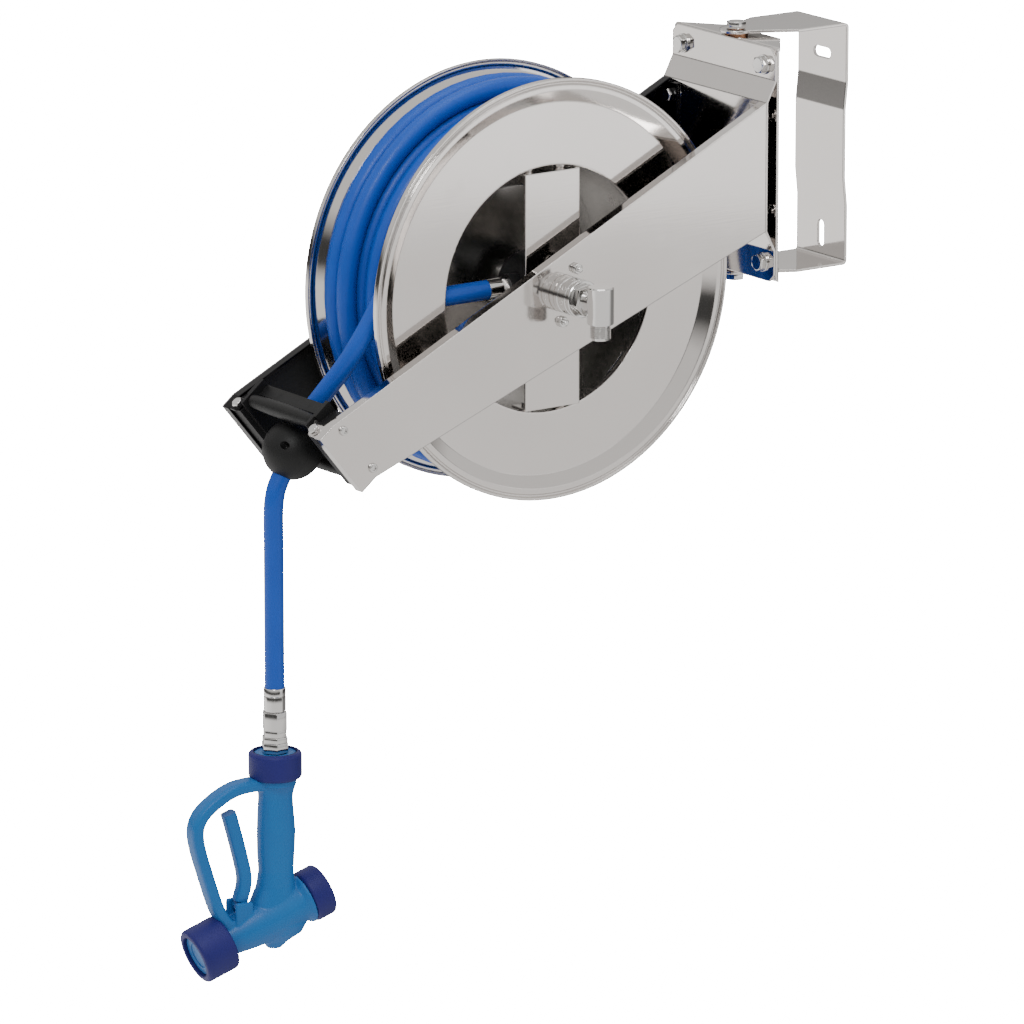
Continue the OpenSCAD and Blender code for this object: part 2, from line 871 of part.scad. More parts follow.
// Side view of the bridge plate: a flat channel with two feet
module bridge_outline(foot) {
    difference() {
        translate([bridge_x - 24, -foot]) square([24, 2 * foot]);
        translate([bridge_x - 25, -foot + bridge_t]) square([25 - bridge_t, 2 * (foot - bridge_t)]);
    }
}

module hub_boss_screws(extra) {
    for (k = [0:3]) rotate([90 * k + 45, 0, 0]) translate([0, 24, 0])
        rod(bridge_x - 16, bridge_x + 1 + extra, 2);
}

module hub_boss() {
    made(black) at_drum() difference() {
        union() {
            rod(10, bridge_x - bridge_t, 32);
            translate([tail_x, 0, tail_z]) rotate([90, 0, 0]) cylinder(h = 42, r = 13);
        }
        rod(9, rim_x, shaft_r);
        translate([tail_x, 0, tail_z]) rotate([90, 0, 0]) cylinder(h = 43, r = 6);
        hub_boss_screws(0);
    }
}

module hollow_shaft() {
    made(steel) at_drum() difference() {
        rod(12, frame_w / 2 + swivel_len - 5, shaft_r);
        rod(30, frame_w / 2 + swivel_len, 7);
        translate([tail_x, 0, tail_z]) rotate([90, 0, 0]) cylinder(h = 20, r = 5);
    }
}

module hub_fitting() {
    made(steel) at_drum() translate([tail_x, -42, tail_z]) rotate([90, 0, 0]) {
        hex(8, 20);
        translate([0, 0, 8]) cylinder(h = 16, r = ferrule_r);
    }
}

module hose_tail() {
    made(hose_blue) at_drum() translate([tail_x, -66, tail_z]) rotate([90, 0, 0])
        cylinder(h = hub_r - 66 - 1.2, r = hose_d / 2);
}

module spring_case() {
    made(dark_steel) at_drum() difference() {
        union() {
            rod(-case_back, 2 - case_back, hub_r - 1.6);
            rod(2 - case_back, cover_x, case_r);
            rod(ratchet_x - ratchet_t, 2 - case_back, 18);
        }
        rod(2 - case_back, cover_x + 1, case_r - 2);
        rod(ratchet_x - ratchet_t - 1, cover_x + 1, axle_r + running_gap);
        case_screw_places(0) rod(-case_back - 1, 3 - case_back, 2.5);
    }
}

module spring_cover() {
    made(dark_steel) at_drum() difference() {
        union() {
            rod(cover_x, cover_x + 1.5, case_r);
            rod(cover_x + 1.5, cover_x + 8, 16);
        }
        rod(cover_x - 1, cover_x + 5, axle_r + running_gap);
    }
}

// Strip of spring wound as a spiral, drawn in Y and Z
module spiral() {
    turns = 11;
    steps = 22;
    inner = axle_r + 3;
    pitch = (case_r - 6 - inner) / turns;
    strip = 1.6;
    path = [for (i = [0:turns * steps]) let (a = 360 * i / steps, r = inner + pitch * i / steps)
        [r * cos(a), r * sin(a)]];
    polygon(sheet(path, strip));
}

module motor_spring() {
    made(dark_steel) at_drum() along_x(4 - case_back, cover_x - 2) spiral();
}

module drum_screws() {
    made(steel) at_drum() {
        case_screw_places(0) {
            rod(-case_back - 3, -case_back, 4.5);
            rod(-case_back, 5 - case_back, 2.5);
        }
        bridge_screw_places() {
            translate([0, 0, -3]) cylinder(h = 11.4, r = 2.5);
            translate([0, 0, -3]) cylinder(h = 3, r = 4.5);
        }
        hub_boss_screws(0);
        for (k = [0:3]) rotate([90 * k + 45, 0, 0]) translate([0, 24, 0]) rod(bridge_x, bridge_x + 3, 4);
    }
}

// Saw-toothed wheel; the pawl catches its steep flanks
module ratchet_wheel() {
    step = 360 / ratchet_teeth;
    tooth_h = 7;
    points = [for (k = [0:ratchet_teeth - 1]) each [
        [ratchet_r * cos(k * step), ratchet_r * sin(k * step)],
        [(ratchet_r - tooth_h) * cos(k * step + 3), (ratchet_r - tooth_h) * sin(k * step + 3)],
        [(ratchet_r - tooth_h / 2) * cos((k + 0.5) * step), (ratchet_r - tooth_h / 2) * sin((k + 0.5) * step)]]];
    made(dark_steel) at_drum() difference() {
        along_x(ratchet_x - ratchet_t, ratchet_x) polygon(points);
        rod(ratchet_x - ratchet_t - 1, ratchet_x + 1, 18);
    }
}

module pawl_place() {
    translate([0, drum_y + pawl_reach * cos(pawl_a), drum_z + pawl_reach * sin(pawl_a)]) children();
}

// Pawl, held clear of the wheel; its tip points back at the teeth
module pawl() {
    made(dark_steel) pawl_place() rotate([pawl_a + pawl_lift, 0, 0]) difference() {
        union() {
            rod(ratchet_x - ratchet_t, ratchet_x, 8);
            along_x(ratchet_x - ratchet_t, ratchet_x)
                polygon([[-3, 7.4], [-22, 9], [-25.5, 3], [-22, -1], [-6, -5]]);
        }
        rod(ratchet_x - ratchet_t - 1, ratchet_x + 1, 4 + running_gap);
    }
}

module pawl_pin() {
    outer = frame_w / 2;
    made(steel) pawl_place() {
        rod(-outer - 3, ratchet_x + 3, 4);
        rod(-outer - 3, -outer, 7);
        rod(-arm_in, ratchet_x - ratchet_t - face_gap, 7);
        rod(ratchet_x + face_gap, ratchet_x + 3, 7);
    }
}

module hose_winding() {
    piled = 2 * lane - 1 - wound_half;
    free = wound_half - lane - 1;
    made(hose_blue) at_drum() turned_x() polygon([[wound_in, -wound_half], [fourth_r, -wound_half],
        [fourth_r, piled], [third_r, piled], [third_r, free], [wound_r, free], [wound_r, wound_half],
        [wound_in, wound_half]]);
}

// ---------------------------------------------------------------- washing gun

module at_gun() {
    translate([0, hang_y, gun_z]) rotate([0, 0, -gun_twist]) children();
}

// Frame of the barrel: Z runs along it, towards the nozzle
module at_barrel() {
    rotate([90 + barrel_tilt, 0, 0]) children();
}

// Bar of even thickness that follows a path in the side view
module strap(path, width, thick) {
    along_x(-width / 2, width / 2) polygon(sheet([for (i = [0:len(path) - 1]) shifted(path, i, -thick / 2)], thick));
}

guard_path = rounded([[-6, 136.5], [-44, 136.5], [-90, 112], [-90, 84], [-70, 22], [-54, -6]], 11);

module handle_section(z, depth, width) {
    for (y = [-1, 1]) translate([0, y * (depth - width) / 2, z]) cylinder(h = 1, d = width, $fn = 32);
}

// Cheeks that carry the trigger's pin
module trigger_cheeks() {
    for (x = [-11.5, trigger_w / 2 + 0.5]) along_x(x, x + 4)
        polygon([[-34, 18], [-37, 21], [-44, 21], [-48, 17], [-50, -10], [-28, -6]]);
}

module gun_body() {
    made(gun_blue) at_gun() difference() {
        union() {
            strap(guard_path, 18, 9.5);
            hull() {
                handle_section(137, 40, 38);
                handle_section(126, 33, 27);
            }
            hull() {
                handle_section(126, 33, 27);
                handle_section(86, 38, 29);
                handle_section(46, 33, 28);
            }
            hull() {
                handle_section(46, 33, 28);
                handle_section(-4, 44, 34);
                handle_section(-26, 30, 26);
            }
            translate([0, 0, 137]) cylinder(h = 28, r = socket_r);
            at_barrel() translate([0, 0, -barrel_rear + rear_ring_len]) cylinder(h = 10, r1 = 25, r2 = 20);
            at_barrel() translate([0, 0, -barrel_rear + 2]) cylinder(h = 145, r = barrel_r);
            translate([0, 4, -28]) sphere(r = 7);
            at_barrel() translate([0, 0, head_start]) cylinder(h = barrel_front - 4 - head_start, r = head_r);
            trigger_cheeks();
        }
        at_barrel() translate([0, 0, 20]) cylinder(h = 90, r = 12);
        at_barrel() translate([0, 0, -30]) cylinder(h = 60, r = stem_r + running_gap);
        translate([0, 0, 157]) cylinder(h = 10, r = 16);
        translate([0, 0, 130]) cylinder(h = 30, r = spigot_r + running_gap);
        translate([-30, trigger_y, trigger_z]) rotate([0, 90, 0]) cylinder(h = 60, r = trigger_pin_r);
        translate([-trigger_w / 2 - 0.5, -51, 6]) cube([trigger_w + 1, 25, 17]);
    }
}

module rubber_ring(length, r, bore) {
    chamfer = 3;
    rotate_extrude() polygon([[bore, 0], [r - chamfer, 0], [r, chamfer], [r, length - chamfer],
        [r - chamfer, length], [bore, length]]);
}

module inlet_ring() {
    made(ring_blue) at_gun() translate([0, 0, gun_drop - inlet_ring_len])
        rubber_ring(inlet_ring_len, inlet_ring_d / 2, socket_r);
}

module front_ring() {
    made(ring_blue) at_gun() at_barrel() difference() {
        translate([0, 0, barrel_front - front_ring_len])
            rubber_ring(front_ring_len, front_ring_d / 2, barrel_r);
        translate([0, 0, head_start]) cylinder(h = 20, r = head_r);
    }
}

module rear_ring() {
    made(ring_blue) at_gun() at_barrel() translate([0, 0, -barrel_rear])
        rubber_ring(rear_ring_len, rear_ring_d / 2, barrel_r);
}

module nozzle() {
    made(gun_blue) at_gun() at_barrel() translate([0, 0, 70]) difference() {
        cylinder(h = 22, r = 11.8);
        translate([0, 0, -1]) cylinder(h = 30, r = 4);
    }
}

module gun_valve() {
    made(dark_steel) at_gun() at_barrel() {
        translate([0, 0, -24]) cylinder(h = 60, r = stem_r);
        translate([0, 0, 36]) cylinder(h = 10, r = 11);
    }
}

module trigger() {
    path = rounded([[trigger_y - 1, trigger_z - 3], [-34, 46], [-53, 112]], 12);
    made(gun_blue) at_gun() difference() {
        union() {
            strap(path, trigger_w, 8);
            translate([-trigger_w / 2, trigger_y, trigger_z]) rotate([0, 90, 0]) cylinder(h = trigger_w, r = 5.5);
        }
        translate([-30, trigger_y, trigger_z]) rotate([0, 90, 0])
            cylinder(h = 60, r = trigger_pin_r + running_gap);
    }
}

module trigger_pin() {
    made(steel) at_gun() translate([-11.5, trigger_y, trigger_z]) rotate([0, 90, 0])
        cylinder(h = 23, r = trigger_pin_r);
}

wall_bracket();
pivot_bushes();
pivot_bolts();
pivot_nuts();
swivel_yoke();
hat_plate();
base_bolts();
base_nuts();
front_arm();
rear_arm();
arm_bolts();
arm_nuts();
guide_plates();
guide_frame();
guide_screws();
lug_bolts();
top_roller();
bottom_roller();
front_roller();
rear_roller();
roller_pins();
front_bearing();
swivel_body();
swivel_bolts();
swivel_nut();
inlet_elbow();
rear_axle();
axle_nut();
pawl();
pawl_pin();
hose_run();
ball_outer();
ball_inner();
ball_screws();
hose_ferrule();
hose_nut();
hose_nipple();
front_disc();
rear_disc();
hub_shell();
bridge_plate();
hub_boss();
hollow_shaft();
hub_fitting();
hose_tail();
spring_case();
spring_cover();
motor_spring();
drum_screws();
ratchet_wheel();
hose_winding();
gun_body();
inlet_ring();
front_ring();
rear_ring();
nozzle();
gun_valve();
trigger();
trigger_pin();
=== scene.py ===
"""Looks of a wall-mounted spring-rewind hose reel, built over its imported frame."""

import json
import logging
import math
from dataclasses import dataclass
from enum import Enum
from typing import Iterable, Sequence

import bmesh
import bpy
from mathutils import Matrix, Vector

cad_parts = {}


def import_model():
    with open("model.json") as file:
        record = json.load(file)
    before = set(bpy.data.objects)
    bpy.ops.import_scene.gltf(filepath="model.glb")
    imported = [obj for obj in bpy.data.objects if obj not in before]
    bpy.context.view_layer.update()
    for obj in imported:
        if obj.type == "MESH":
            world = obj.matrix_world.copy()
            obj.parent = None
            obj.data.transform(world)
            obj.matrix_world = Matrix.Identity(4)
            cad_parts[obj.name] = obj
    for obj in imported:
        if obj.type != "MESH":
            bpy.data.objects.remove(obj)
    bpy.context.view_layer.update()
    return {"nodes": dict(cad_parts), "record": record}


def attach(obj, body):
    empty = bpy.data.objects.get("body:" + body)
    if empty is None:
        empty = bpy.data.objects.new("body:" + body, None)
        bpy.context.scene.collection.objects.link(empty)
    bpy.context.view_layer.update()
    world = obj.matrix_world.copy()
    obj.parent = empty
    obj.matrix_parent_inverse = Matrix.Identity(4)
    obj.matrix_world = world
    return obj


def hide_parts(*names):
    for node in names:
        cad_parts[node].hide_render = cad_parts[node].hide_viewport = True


log = logging.getLogger("hose_reel")
MM = 0.001
DATUM = 0.075
DRUM = Vector((0.0, -0.385, -0.1 - DATUM))
MOUTH = Vector((0.0, -0.6584, -0.2386 - DATUM))
MOUTH_TILT = math.radians(39.4)
HANG_Y = -0.6813
HOSE_TOP = -0.479 - DATUM
INLET_TOP = HOSE_TOP - 0.0655
GUN_ORIGIN = Vector((0.0, HANG_Y, INLET_TOP - 0.17))
GUN_TWIST = math.radians(-7)
BARREL_TILT = math.radians(110)
FRAME_HALF = 0.0885
HOSE_R = 0.01


class Finish(Enum):
    """Every finish in the scene, by the record's material slot it belongs to."""

    SHEET = "stainless_steel"
    MACHINED = "machined_steel"
    DARK = "dark_steel"
    BRONZE = "bronze"
    BLACK = "black_plastic"
    HOSE = "hose_rubber"
    GUN = "gun_blue"
    RING = "ring_rubber"
    # The rear arm's sheet, its inner face painted near-black as a painted reflection of the shaded reel
    # interior.
    ARM_PAINTED_REFLECTION = "arm_sheet"


class Tap:
    """A shader socket with arithmetic, so that node maths reads as a formula."""

    def __init__(self, tree: bpy.types.NodeTree, socket: bpy.types.NodeSocket) -> None:
        self.tree = tree
        self.socket = socket

    def _maths(self, operation: str, *values: "Tap | float") -> "Tap":
        """Adds a math node.

        Args:
            operation: Blender's name for it.
            values: its inputs, in order.

        Returns:
            The node's result.
        """
        node = self.tree.nodes.new("ShaderNodeMath")
        node.operation = operation
        for place, value in enumerate(values):
            if isinstance(value, Tap):
                self.tree.links.new(value.socket, node.inputs[place])
            else:
                node.inputs[place].default_value = value
        return Tap(self.tree, node.outputs[0])

    def __add__(self, other: "Tap | float") -> "Tap":
        return self._maths("ADD", self, other)

    __radd__ = __add__

    def __sub__(self, other: "Tap | float") -> "Tap":
        return self._maths("SUBTRACT", self, other)

    def __rsub__(self, other: "Tap | float") -> "Tap":
        return self._maths("SUBTRACT", other, self)

    def __mul__(self, other: "Tap | float") -> "Tap":
        return self._maths("MULTIPLY", self, other)

    __rmul__ = __mul__

    def clamped(self) -> "Tap":
        """Returns the value held between 0 and 1."""
        return self._maths("MAXIMUM", self._maths("MINIMUM", self, 1.0), 0.0)


class Graph:
    """A material being built: one method adds any node, and the rest name its usual parts."""

    def __init__(self, name: str) -> None:
        self.material = bpy.data.materials.new(name)
        self.material.use_nodes = True
        self.tree = self.material.node_tree
        self.shader = self.tree.nodes["Principled BSDF"]
        coords = self.tree.nodes.new("ShaderNodeTexCoord")
        self.place = Tap(self.tree, coords.outputs["Object"])

    def node(self, kind: str, output: str | int = 0, settings: dict | None = None, **inputs) -> Tap:
        """Adds any node.

        Args:
            kind: the node's type.
            output: the output wanted.
            settings: attributes to set on the node.
            inputs: socket values or Taps, with spaces in names as underscores.

        Returns:
            The output asked for.
        """
        made = self.tree.nodes.new(kind)
        for key, value in (settings or {}).items():
            setattr(made, key, value)
        for key, value in inputs.items():
            socket = made.inputs[int(key[1:])] if key[0] == "_" else made.inputs[key.replace("_", " ")]
            if isinstance(value, Tap):
                self.tree.links.new(value.socket, socket)
            else:
                socket.default_value = value
        return Tap(self.tree, made.outputs[output])

    def stretched(self, scale: Sequence[float]) -> Tap:
        """Returns object coordinates scaled by a factor along each axis."""
        return self.node("ShaderNodeMapping", Vector=self.place, Scale=tuple(scale))

    def noise(self, scale: float, detail: float = 3.0, stretch: Sequence[float] = (1, 1, 1)) -> Tap:
        """Returns fractal noise from 0 to 1, at so many features a metre."""
        place = self.stretched(stretch)
        return self.node("ShaderNodeTexNoise", "Fac", Vector=place, Scale=scale, Detail=detail)

    def mixed(self, low: Sequence[float], high: Sequence[float], share: Tap) -> Tap:
        """Returns a colour between low and high."""
        return self.node(
            "ShaderNodeMix",
            2,
            {"data_type": "RGBA"},
            _0=share.clamped(),
            _6=(*low, 1.0),
            _7=(*high, 1.0),
        )

    def feed(self, name: str, value: Tap) -> None:
        """Drives one of the shader's sockets."""
        self.tree.links.new(value.socket, self.shader.inputs[name])

    def hold(self, **values: float) -> None:
        """Sets constants on the shader's own sockets."""
        for name, value in values.items():
            self.shader.inputs[name.replace("_", " ")].default_value = value

    def relief(self, height: Tap, distance: float, strength: float = 1.0, edge: float = 0.0) -> None:
        """Bumps the surface by height, with edges softened over a radius."""
        inputs = {"Height": height, "Distance": distance, "Strength": strength}
        if edge:
            inputs["Normal"] = self.node("ShaderNodeBevel", 0, {"samples": 6}, Radius=edge)
        self.feed("Normal", self.node("ShaderNodeBump", **inputs))


@dataclass(frozen=True)
class PaintedDarkReflection:
    """The side of an arm that faces the drum, painted near-black as a painted reflection of the shaded space
    inside the reel, where the bright sheet would mirror only dark.
    """

    colour: tuple[float, float, float]
    plane: float

    def share(self, g: "Graph") -> Tap:
        """Returns 1 past plane on the axis and 0 elsewhere."""
        return ((g.node("ShaderNodeSeparateXYZ", 0, Vector=g.place) - self.plane) * 4000.0).clamped()


@dataclass(frozen=True)
class Steel:
    """A stainless finish: its colour, polish, rolling grain and handling marks."""

    colour: tuple[float, float, float]
    shade: tuple[float, float, float]
    roughness: float
    grain: float
    marks: float
    edge: float = 0.0008
    relief: float = 0.3
    # Where set, the sheet's colour past a plane is replaced by a painted dark reflection.
    painted_reflection: "PaintedDarkReflection | None" = None

    def build(self, name: str) -> bpy.types.Material:
        """Returns the material."""
        g = Graph(name)
        grain = g.noise(1200.0, 2.0, (1.0, 0.02, 0.5))
        cloud = g.noise(9.0, 4.0)
        marks = g.noise(160.0, 6.0, (1.0, 0.15, 0.15))
        worn = ((marks - 0.62) * 6.0).clamped()
        lit = cloud * 1.2 + grain * 0.12 - worn * 0.08
        colour = g.mixed(self.shade, self.colour, lit)
        # Painted reflection: past the plane the colour turns near-black, standing in for the shaded reel
        # interior that the sheet mirrors.
        if self.painted_reflection is not None:
            colour = g.node(
                "ShaderNodeMix",
                2,
                {"data_type": "RGBA"},
                _0=self.painted_reflection.share(g),
                _6=colour,
                _7=(*self.painted_reflection.colour, 1.0),
            )
        g.feed("Base Color", colour)
        rough = grain * self.grain + cloud * 0.03 + worn * self.marks + self.roughness
        g.feed("Roughness", rough.clamped())
        g.hold(Metallic=1.0)
        g.relief(grain * 0.4 + g.noise(5.0, 1.0) * 1.2, 0.0002, self.relief, self.edge)
        return g.material


@dataclass(frozen=True)
class Bronze:
    """Sintered bronze: porous, with darker oil in its pores."""

    colour: tuple[float, float, float]
    pore: tuple[float, float, float]

    def build(self, name: str) -> bpy.types.Material:
        """Returns the material."""
        g = Graph(name)
        pores = g.noise(2600.0, 2.0)
        g.feed("Base Color", g.mixed(self.pore, self.colour, pores * 2.4 - 0.5))
        g.feed("Roughness", pores * -0.2 + 0.5)
        g.hold(Metallic=1.0)
        g.relief(pores, 0.0001, 0.5)
        return g.material


@dataclass(frozen=True)
class Moulded:
    """A moulded or rubbery finish, with dust, a fine skin texture and a soft sheen."""

    colour: tuple[float, float, float]
    shade: tuple[float, float, float]
    roughness: float
    skin: float
    skin_scale: float
    coat: float = 0.0
    sheen: float = 0.0
    edge: float = 0.0006
    gloss: float = 0.3

    def build(self, name: str) -> bpy.types.Material:
        """Returns the material."""
        g = Graph(name)
        skin = g.noise(self.skin_scale, 3.0)
        cloud = g.noise(24.0, 4.0)
        rubbed = ((g.noise(70.0, 5.0) - 0.58) * 5.0).clamped()
        g.feed("Base Color", g.mixed(self.shade, self.colour, cloud * 0.9 + skin * 0.25))
        g.feed("Roughness", (rubbed * 0.12 + cloud * 0.1 + self.roughness).clamped())
        g.hold(Metallic=0.0, Coat_Weight=self.coat, Coat_Roughness=0.12, Sheen_Weight=self.sheen)
        g.hold(Specular_IOR_Level=self.gloss)
        g.relief(skin + cloud * 0.6, self.skin, 0.6, self.edge)
        return g.material


FINISHES = {
    Finish.SHEET: Steel((0.71, 0.68, 0.66), (0.66, 0.63, 0.61), 0.055, 0.03, 0.04, 0.0018, 0.05),
    Finish.MACHINED: Steel((0.72, 0.71, 0.70), (0.62, 0.61, 0.60), 0.10, 0.04, 0.04, 0.00025, 0.05),
    Finish.DARK: Steel((0.58, 0.565, 0.55), (0.50, 0.49, 0.48), 0.20, 0.05, 0.04, 0.0008, 0.06),
    # Same sheet as SHEET, with the painted dark reflection on the side facing the drum.
    Finish.ARM_PAINTED_REFLECTION: Steel(
        (0.71, 0.68, 0.66),
        (0.66, 0.63, 0.61),
        0.07,
        0.03,
        0.04,
        0.0018,
        0.05,
        PaintedDarkReflection((0.012, 0.012, 0.013), -0.0866),
    ),
    Finish.BRONZE: Bronze((0.74, 0.40, 0.24), (0.30, 0.14, 0.07)),
    Finish.BLACK: Moulded((0.009, 0.009, 0.0095), (0.005, 0.005, 0.0055), 0.46, 0.00012, 900.0),
    Finish.HOSE: Moulded((0.007, 0.088, 0.50), (0.004, 0.062, 0.38), 0.36, 0.00010, 420.0, 0.05, 0.0, 0.0),
    Finish.GUN: Moulded((0.016, 0.150, 0.43), (0.012, 0.115, 0.36), 0.40, 0.00018, 520.0, 0.04),
    Finish.RING: Moulded((0.013, 0.013, 0.16), (0.009, 0.009, 0.11), 0.45, 0.00015, 700.0, 0.0, 0.02),
}


def paint(finish: Finish, cache: dict[Finish, bpy.types.Material] = {}) -> bpy.types.Material:
    """Returns a finish's material, made once."""
    if finish not in cache:
        cache[finish] = FINISHES[finish].build(finish.value)
    return cache[finish]


class Mesh:
    """A bmesh being filled with operator-made shapes, then turned into a piece."""

    def __init__(self) -> None:
        self.bm = bmesh.new()

    def lathe(self, profile: Sequence[tuple[float, float]], at: Matrix, steps: int = 64) -> None:
        """Spins a profile about Z.

        Args:
            profile: radius and height of each point, in order, in metres.
            at: where the shape goes.
            steps: facets round the axis.
        """
        bm = bmesh.new()
        points = [bm.verts.new((r, 0.0, z)) for r, z in profile]
        edges = [bm.edges.new(pair) for pair in zip(points, points[1:])]
        bmesh.ops.spin(
            bm,
            geom=points + edges,
            cent=(0, 0, 0),
            axis=(0, 0, 1),
            angle=math.tau,
            steps=steps,
            use_merge=True,
        )
        bmesh.ops.remove_doubles(bm, verts=bm.verts, dist=1e-7)
        self._take(bm, at)

    def sweep(
        self, rings: Iterable[tuple[Matrix, float, float]], sides: int = 24, squareness: float = 1.0
    ) -> None:
        """Carries a circle along a path by extruding its rim.

        Args:
            rings: for each ring its place, whose Z runs along the path, and its two half-widths.
            sides: points in each ring.
            squareness: 1 for an ellipse, and less for a section with flatter sides.
        """
        rings = list(rings)
        bm = bmesh.new()
        first = bmesh.ops.create_circle(bm, cap_ends=False, segments=sides, radius=1.0)["verts"]
        unit = [Vector([math.copysign(abs(c) ** squareness, c) for c in v.co[:2]]) for v in first]
        ends = [list(first)]
        for v, c in zip(first, unit):
            v.co = rings[0][0] @ Vector((c.x * rings[0][1], c.y * rings[0][2], 0.0))
        rim = list(bm.edges)
        order = {v: k for k, v in enumerate(first)}
        for place, half_x, half_y in rings[1:]:
            made = bmesh.ops.extrude_edge_only(bm, edges=rim)["geom"]
            fresh = [g for g in made if isinstance(g, bmesh.types.BMVert)]
            rim = [g for g in made if isinstance(g, bmesh.types.BMEdge) and all(v in fresh for v in g.verts)]
            step = {}
            for v in fresh:
                old = next(e.other_vert(v) for e in v.link_edges if e.other_vert(v) in order)
                step[v] = order[old]
            for v, k in step.items():
                v.co = place @ Vector((unit[k].x * half_x, unit[k].y * half_y, 0.0))
            order = step
            ends.append(list(fresh))
        bmesh.ops.holes_fill(bm, edges=[e for e in bm.edges if e.is_boundary], sides=sides + 2)
        bmesh.ops.recalc_face_normals(bm, faces=bm.faces)
        self._take(bm, Matrix())

    def prism(self, sides: int, radius: float, height: float, at: Matrix, bevel: float = 0.0) -> None:
        """Adds a bar of so many sides, standing on Z=0, with broken edges."""
        bm = bmesh.new()
        bmesh.ops.create_cone(
            bm,
            cap_ends=True,
            segments=sides,
            radius1=radius,
            radius2=radius,
            depth=height,
            matrix=Matrix.Translation((0, 0, height / 2)),
        )
        if bevel:
            bmesh.ops.bevel(
                bm,
                geom=bm.edges[:],
                offset=bevel,
                segments=2,
                profile=0.5,
                affect="EDGES",
                material=-1,
            )
        self._take(bm, at)

    def box(self, low: Sequence[float], high: Sequence[float], at: Matrix, bevel: float) -> None:
        """Adds a block between two corners, with rounded edges."""
        bm = bmesh.new()
        size = Vector(high) - Vector(low)
        middle = (Vector(high) + Vector(low)) / 2
        bmesh.ops.create_cube(bm, size=1.0, matrix=Matrix.Translation(middle) @ Matrix.Diagonal((*size, 1.0)))
        bmesh.ops.bevel(
            bm,
            geom=bm.edges[:],
            offset=bevel,
            segments=3,
            profile=0.5,
            affect="EDGES",
            material=-1,
        )
        self._take(bm, at)

    def thread(self, radius: float, pitch: float, length: float, at: Matrix, depth: float) -> None:
        """Adds a screw thread's ridge, wound up from Z=0."""
        bm = bmesh.new()
        root = radius - depth
        points = [
            bm.verts.new((root, 0, -pitch * 0.42)),
            bm.verts.new((radius, 0, -pitch * 0.08)),
            bm.verts.new((radius, 0, pitch * 0.08)),
            bm.verts.new((root, 0, pitch * 0.42)),
        ]
        edges = [bm.edges.new(pair) for pair in zip(points, points[1:])]
        turns = max(1.0, (length - pitch) / pitch)
        steps = int(36 * turns)
        bmesh.ops.spin(
            bm,
            geom=points + edges,
            cent=(0, 0, 0),
            axis=(0, 0, 1),
            dvec=(0, 0, pitch * turns / steps),
            angle=math.tau * turns,
            steps=steps,
        )
        self._take(bm, at @ Matrix.Translation((0, 0, pitch / 2)))

    def fuse(self, voxel: float, smoothing: int) -> None:
        """Melts everything made so far into one smooth skin."""
        mesh = bpy.data.meshes.new("fused")
        self.bm.to_mesh(mesh)
        lump = bpy.data.objects.new("fused", mesh)
        bpy.context.scene.collection.objects.link(lump)
        remesh = lump.modifiers.new("remesh", "REMESH")
        remesh.mode, remesh.voxel_size = "VOXEL", voxel
        smooth = lump.modifiers.new("smooth", "SMOOTH")
        smooth.factor, smooth.iterations = 0.5, smoothing
        shaped = bpy.data.meshes.new_from_object(lump.evaluated_get(bpy.context.evaluated_depsgraph_get()))
        self.bm.clear()
        self.bm.from_mesh(shaped)
        bpy.data.objects.remove(lump)
        bpy.data.meshes.remove(mesh)
        bpy.data.meshes.remove(shaped)

    def _take(self, other: bmesh.types.BMesh, at: Matrix) -> None:
        """Adds another bmesh's shape, moved."""
        bmesh.ops.transform(other, matrix=at, verts=other.verts)
        mesh = bpy.data.meshes.new("part")
        other.to_mesh(mesh)
        other.free()
        self.bm.from_mesh(mesh)
        bpy.data.meshes.remove(mesh)

    def piece(
        self, name: str, finish: Finish, body: str, replaced: Sequence[str] = (), angle: float = 35.0
    ) -> bpy.types.Object:
        """Finishes the shape as a named piece.

        Args:
            name: the piece's name.
            finish: what it is made of.
            body: the body it rides on.
            replaced: CAD nodes that it stands for.
            angle: edges sharper than this, in degrees, stay sharp.

        Returns:
            The object.
        """
        bmesh.ops.recalc_face_normals(self.bm, faces=self.bm.faces)
        for face in self.bm.faces:
            face.smooth = True
        for edge in self.bm.edges:
            edge.smooth = len(edge.link_faces) < 2 or edge.calc_face_angle(0.0) < math.radians(angle)
        mesh = bpy.data.meshes.new(name)
        self.bm.to_mesh(mesh)
        self.bm.free()
        made = bpy.data.objects.new(name, mesh)
        bpy.context.scene.collection.objects.link(made)
        mesh.materials.append(paint(finish))
        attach(made, body)
        if replaced:
            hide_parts(*replaced)
        return made


def turned(axis: str, degrees: float) -> Matrix:
    """Returns a rotation about X, Y or Z."""
    return Matrix.Rotation(math.radians(degrees), 4, axis)


def moved(x: float, y: float, z: float) -> Matrix:
    """Returns a shift, in metres."""
    return Matrix.Translation((x, y, z))


HOME = Matrix.Translation((0, 0, -DATUM))
AT_DRUM = Matrix.Translation(DRUM)
ALONG_X = turned("Y", 90)
AT_MOUTH = Matrix.Translation(MOUTH) @ Matrix.Rotation(math.radians(90) + MOUTH_TILT, 4, "X")
AT_GUN = Matrix.Translation(GUN_ORIGIN) @ Matrix.Rotation(GUN_TWIST, 4, "Z")
AT_BARREL = AT_GUN @ Matrix.Rotation(BARREL_TILT, 4, "X")


def smooth_path(points: Sequence[Sequence[float]], steps: int) -> list[Vector]:
    """Returns a curve through points, with so many steps between neighbours."""
    p = [Vector(q) for q in points]
    p = [2 * p[0] - p[1], *p, 2 * p[-1] - p[-2]]
    path = []
    for a, b, c, d in zip(p, p[1:], p[2:], p[3:]):
        for k in range(steps):
            t = k / steps
            path.append(
                0.5
                * (2 * b + (c - a) * t + (2 * a - 5 * b + 4 * c - d) * t * t + (3 * b - a - 3 * c + d) * t**3)
            )
    return [*path, p[-2]]


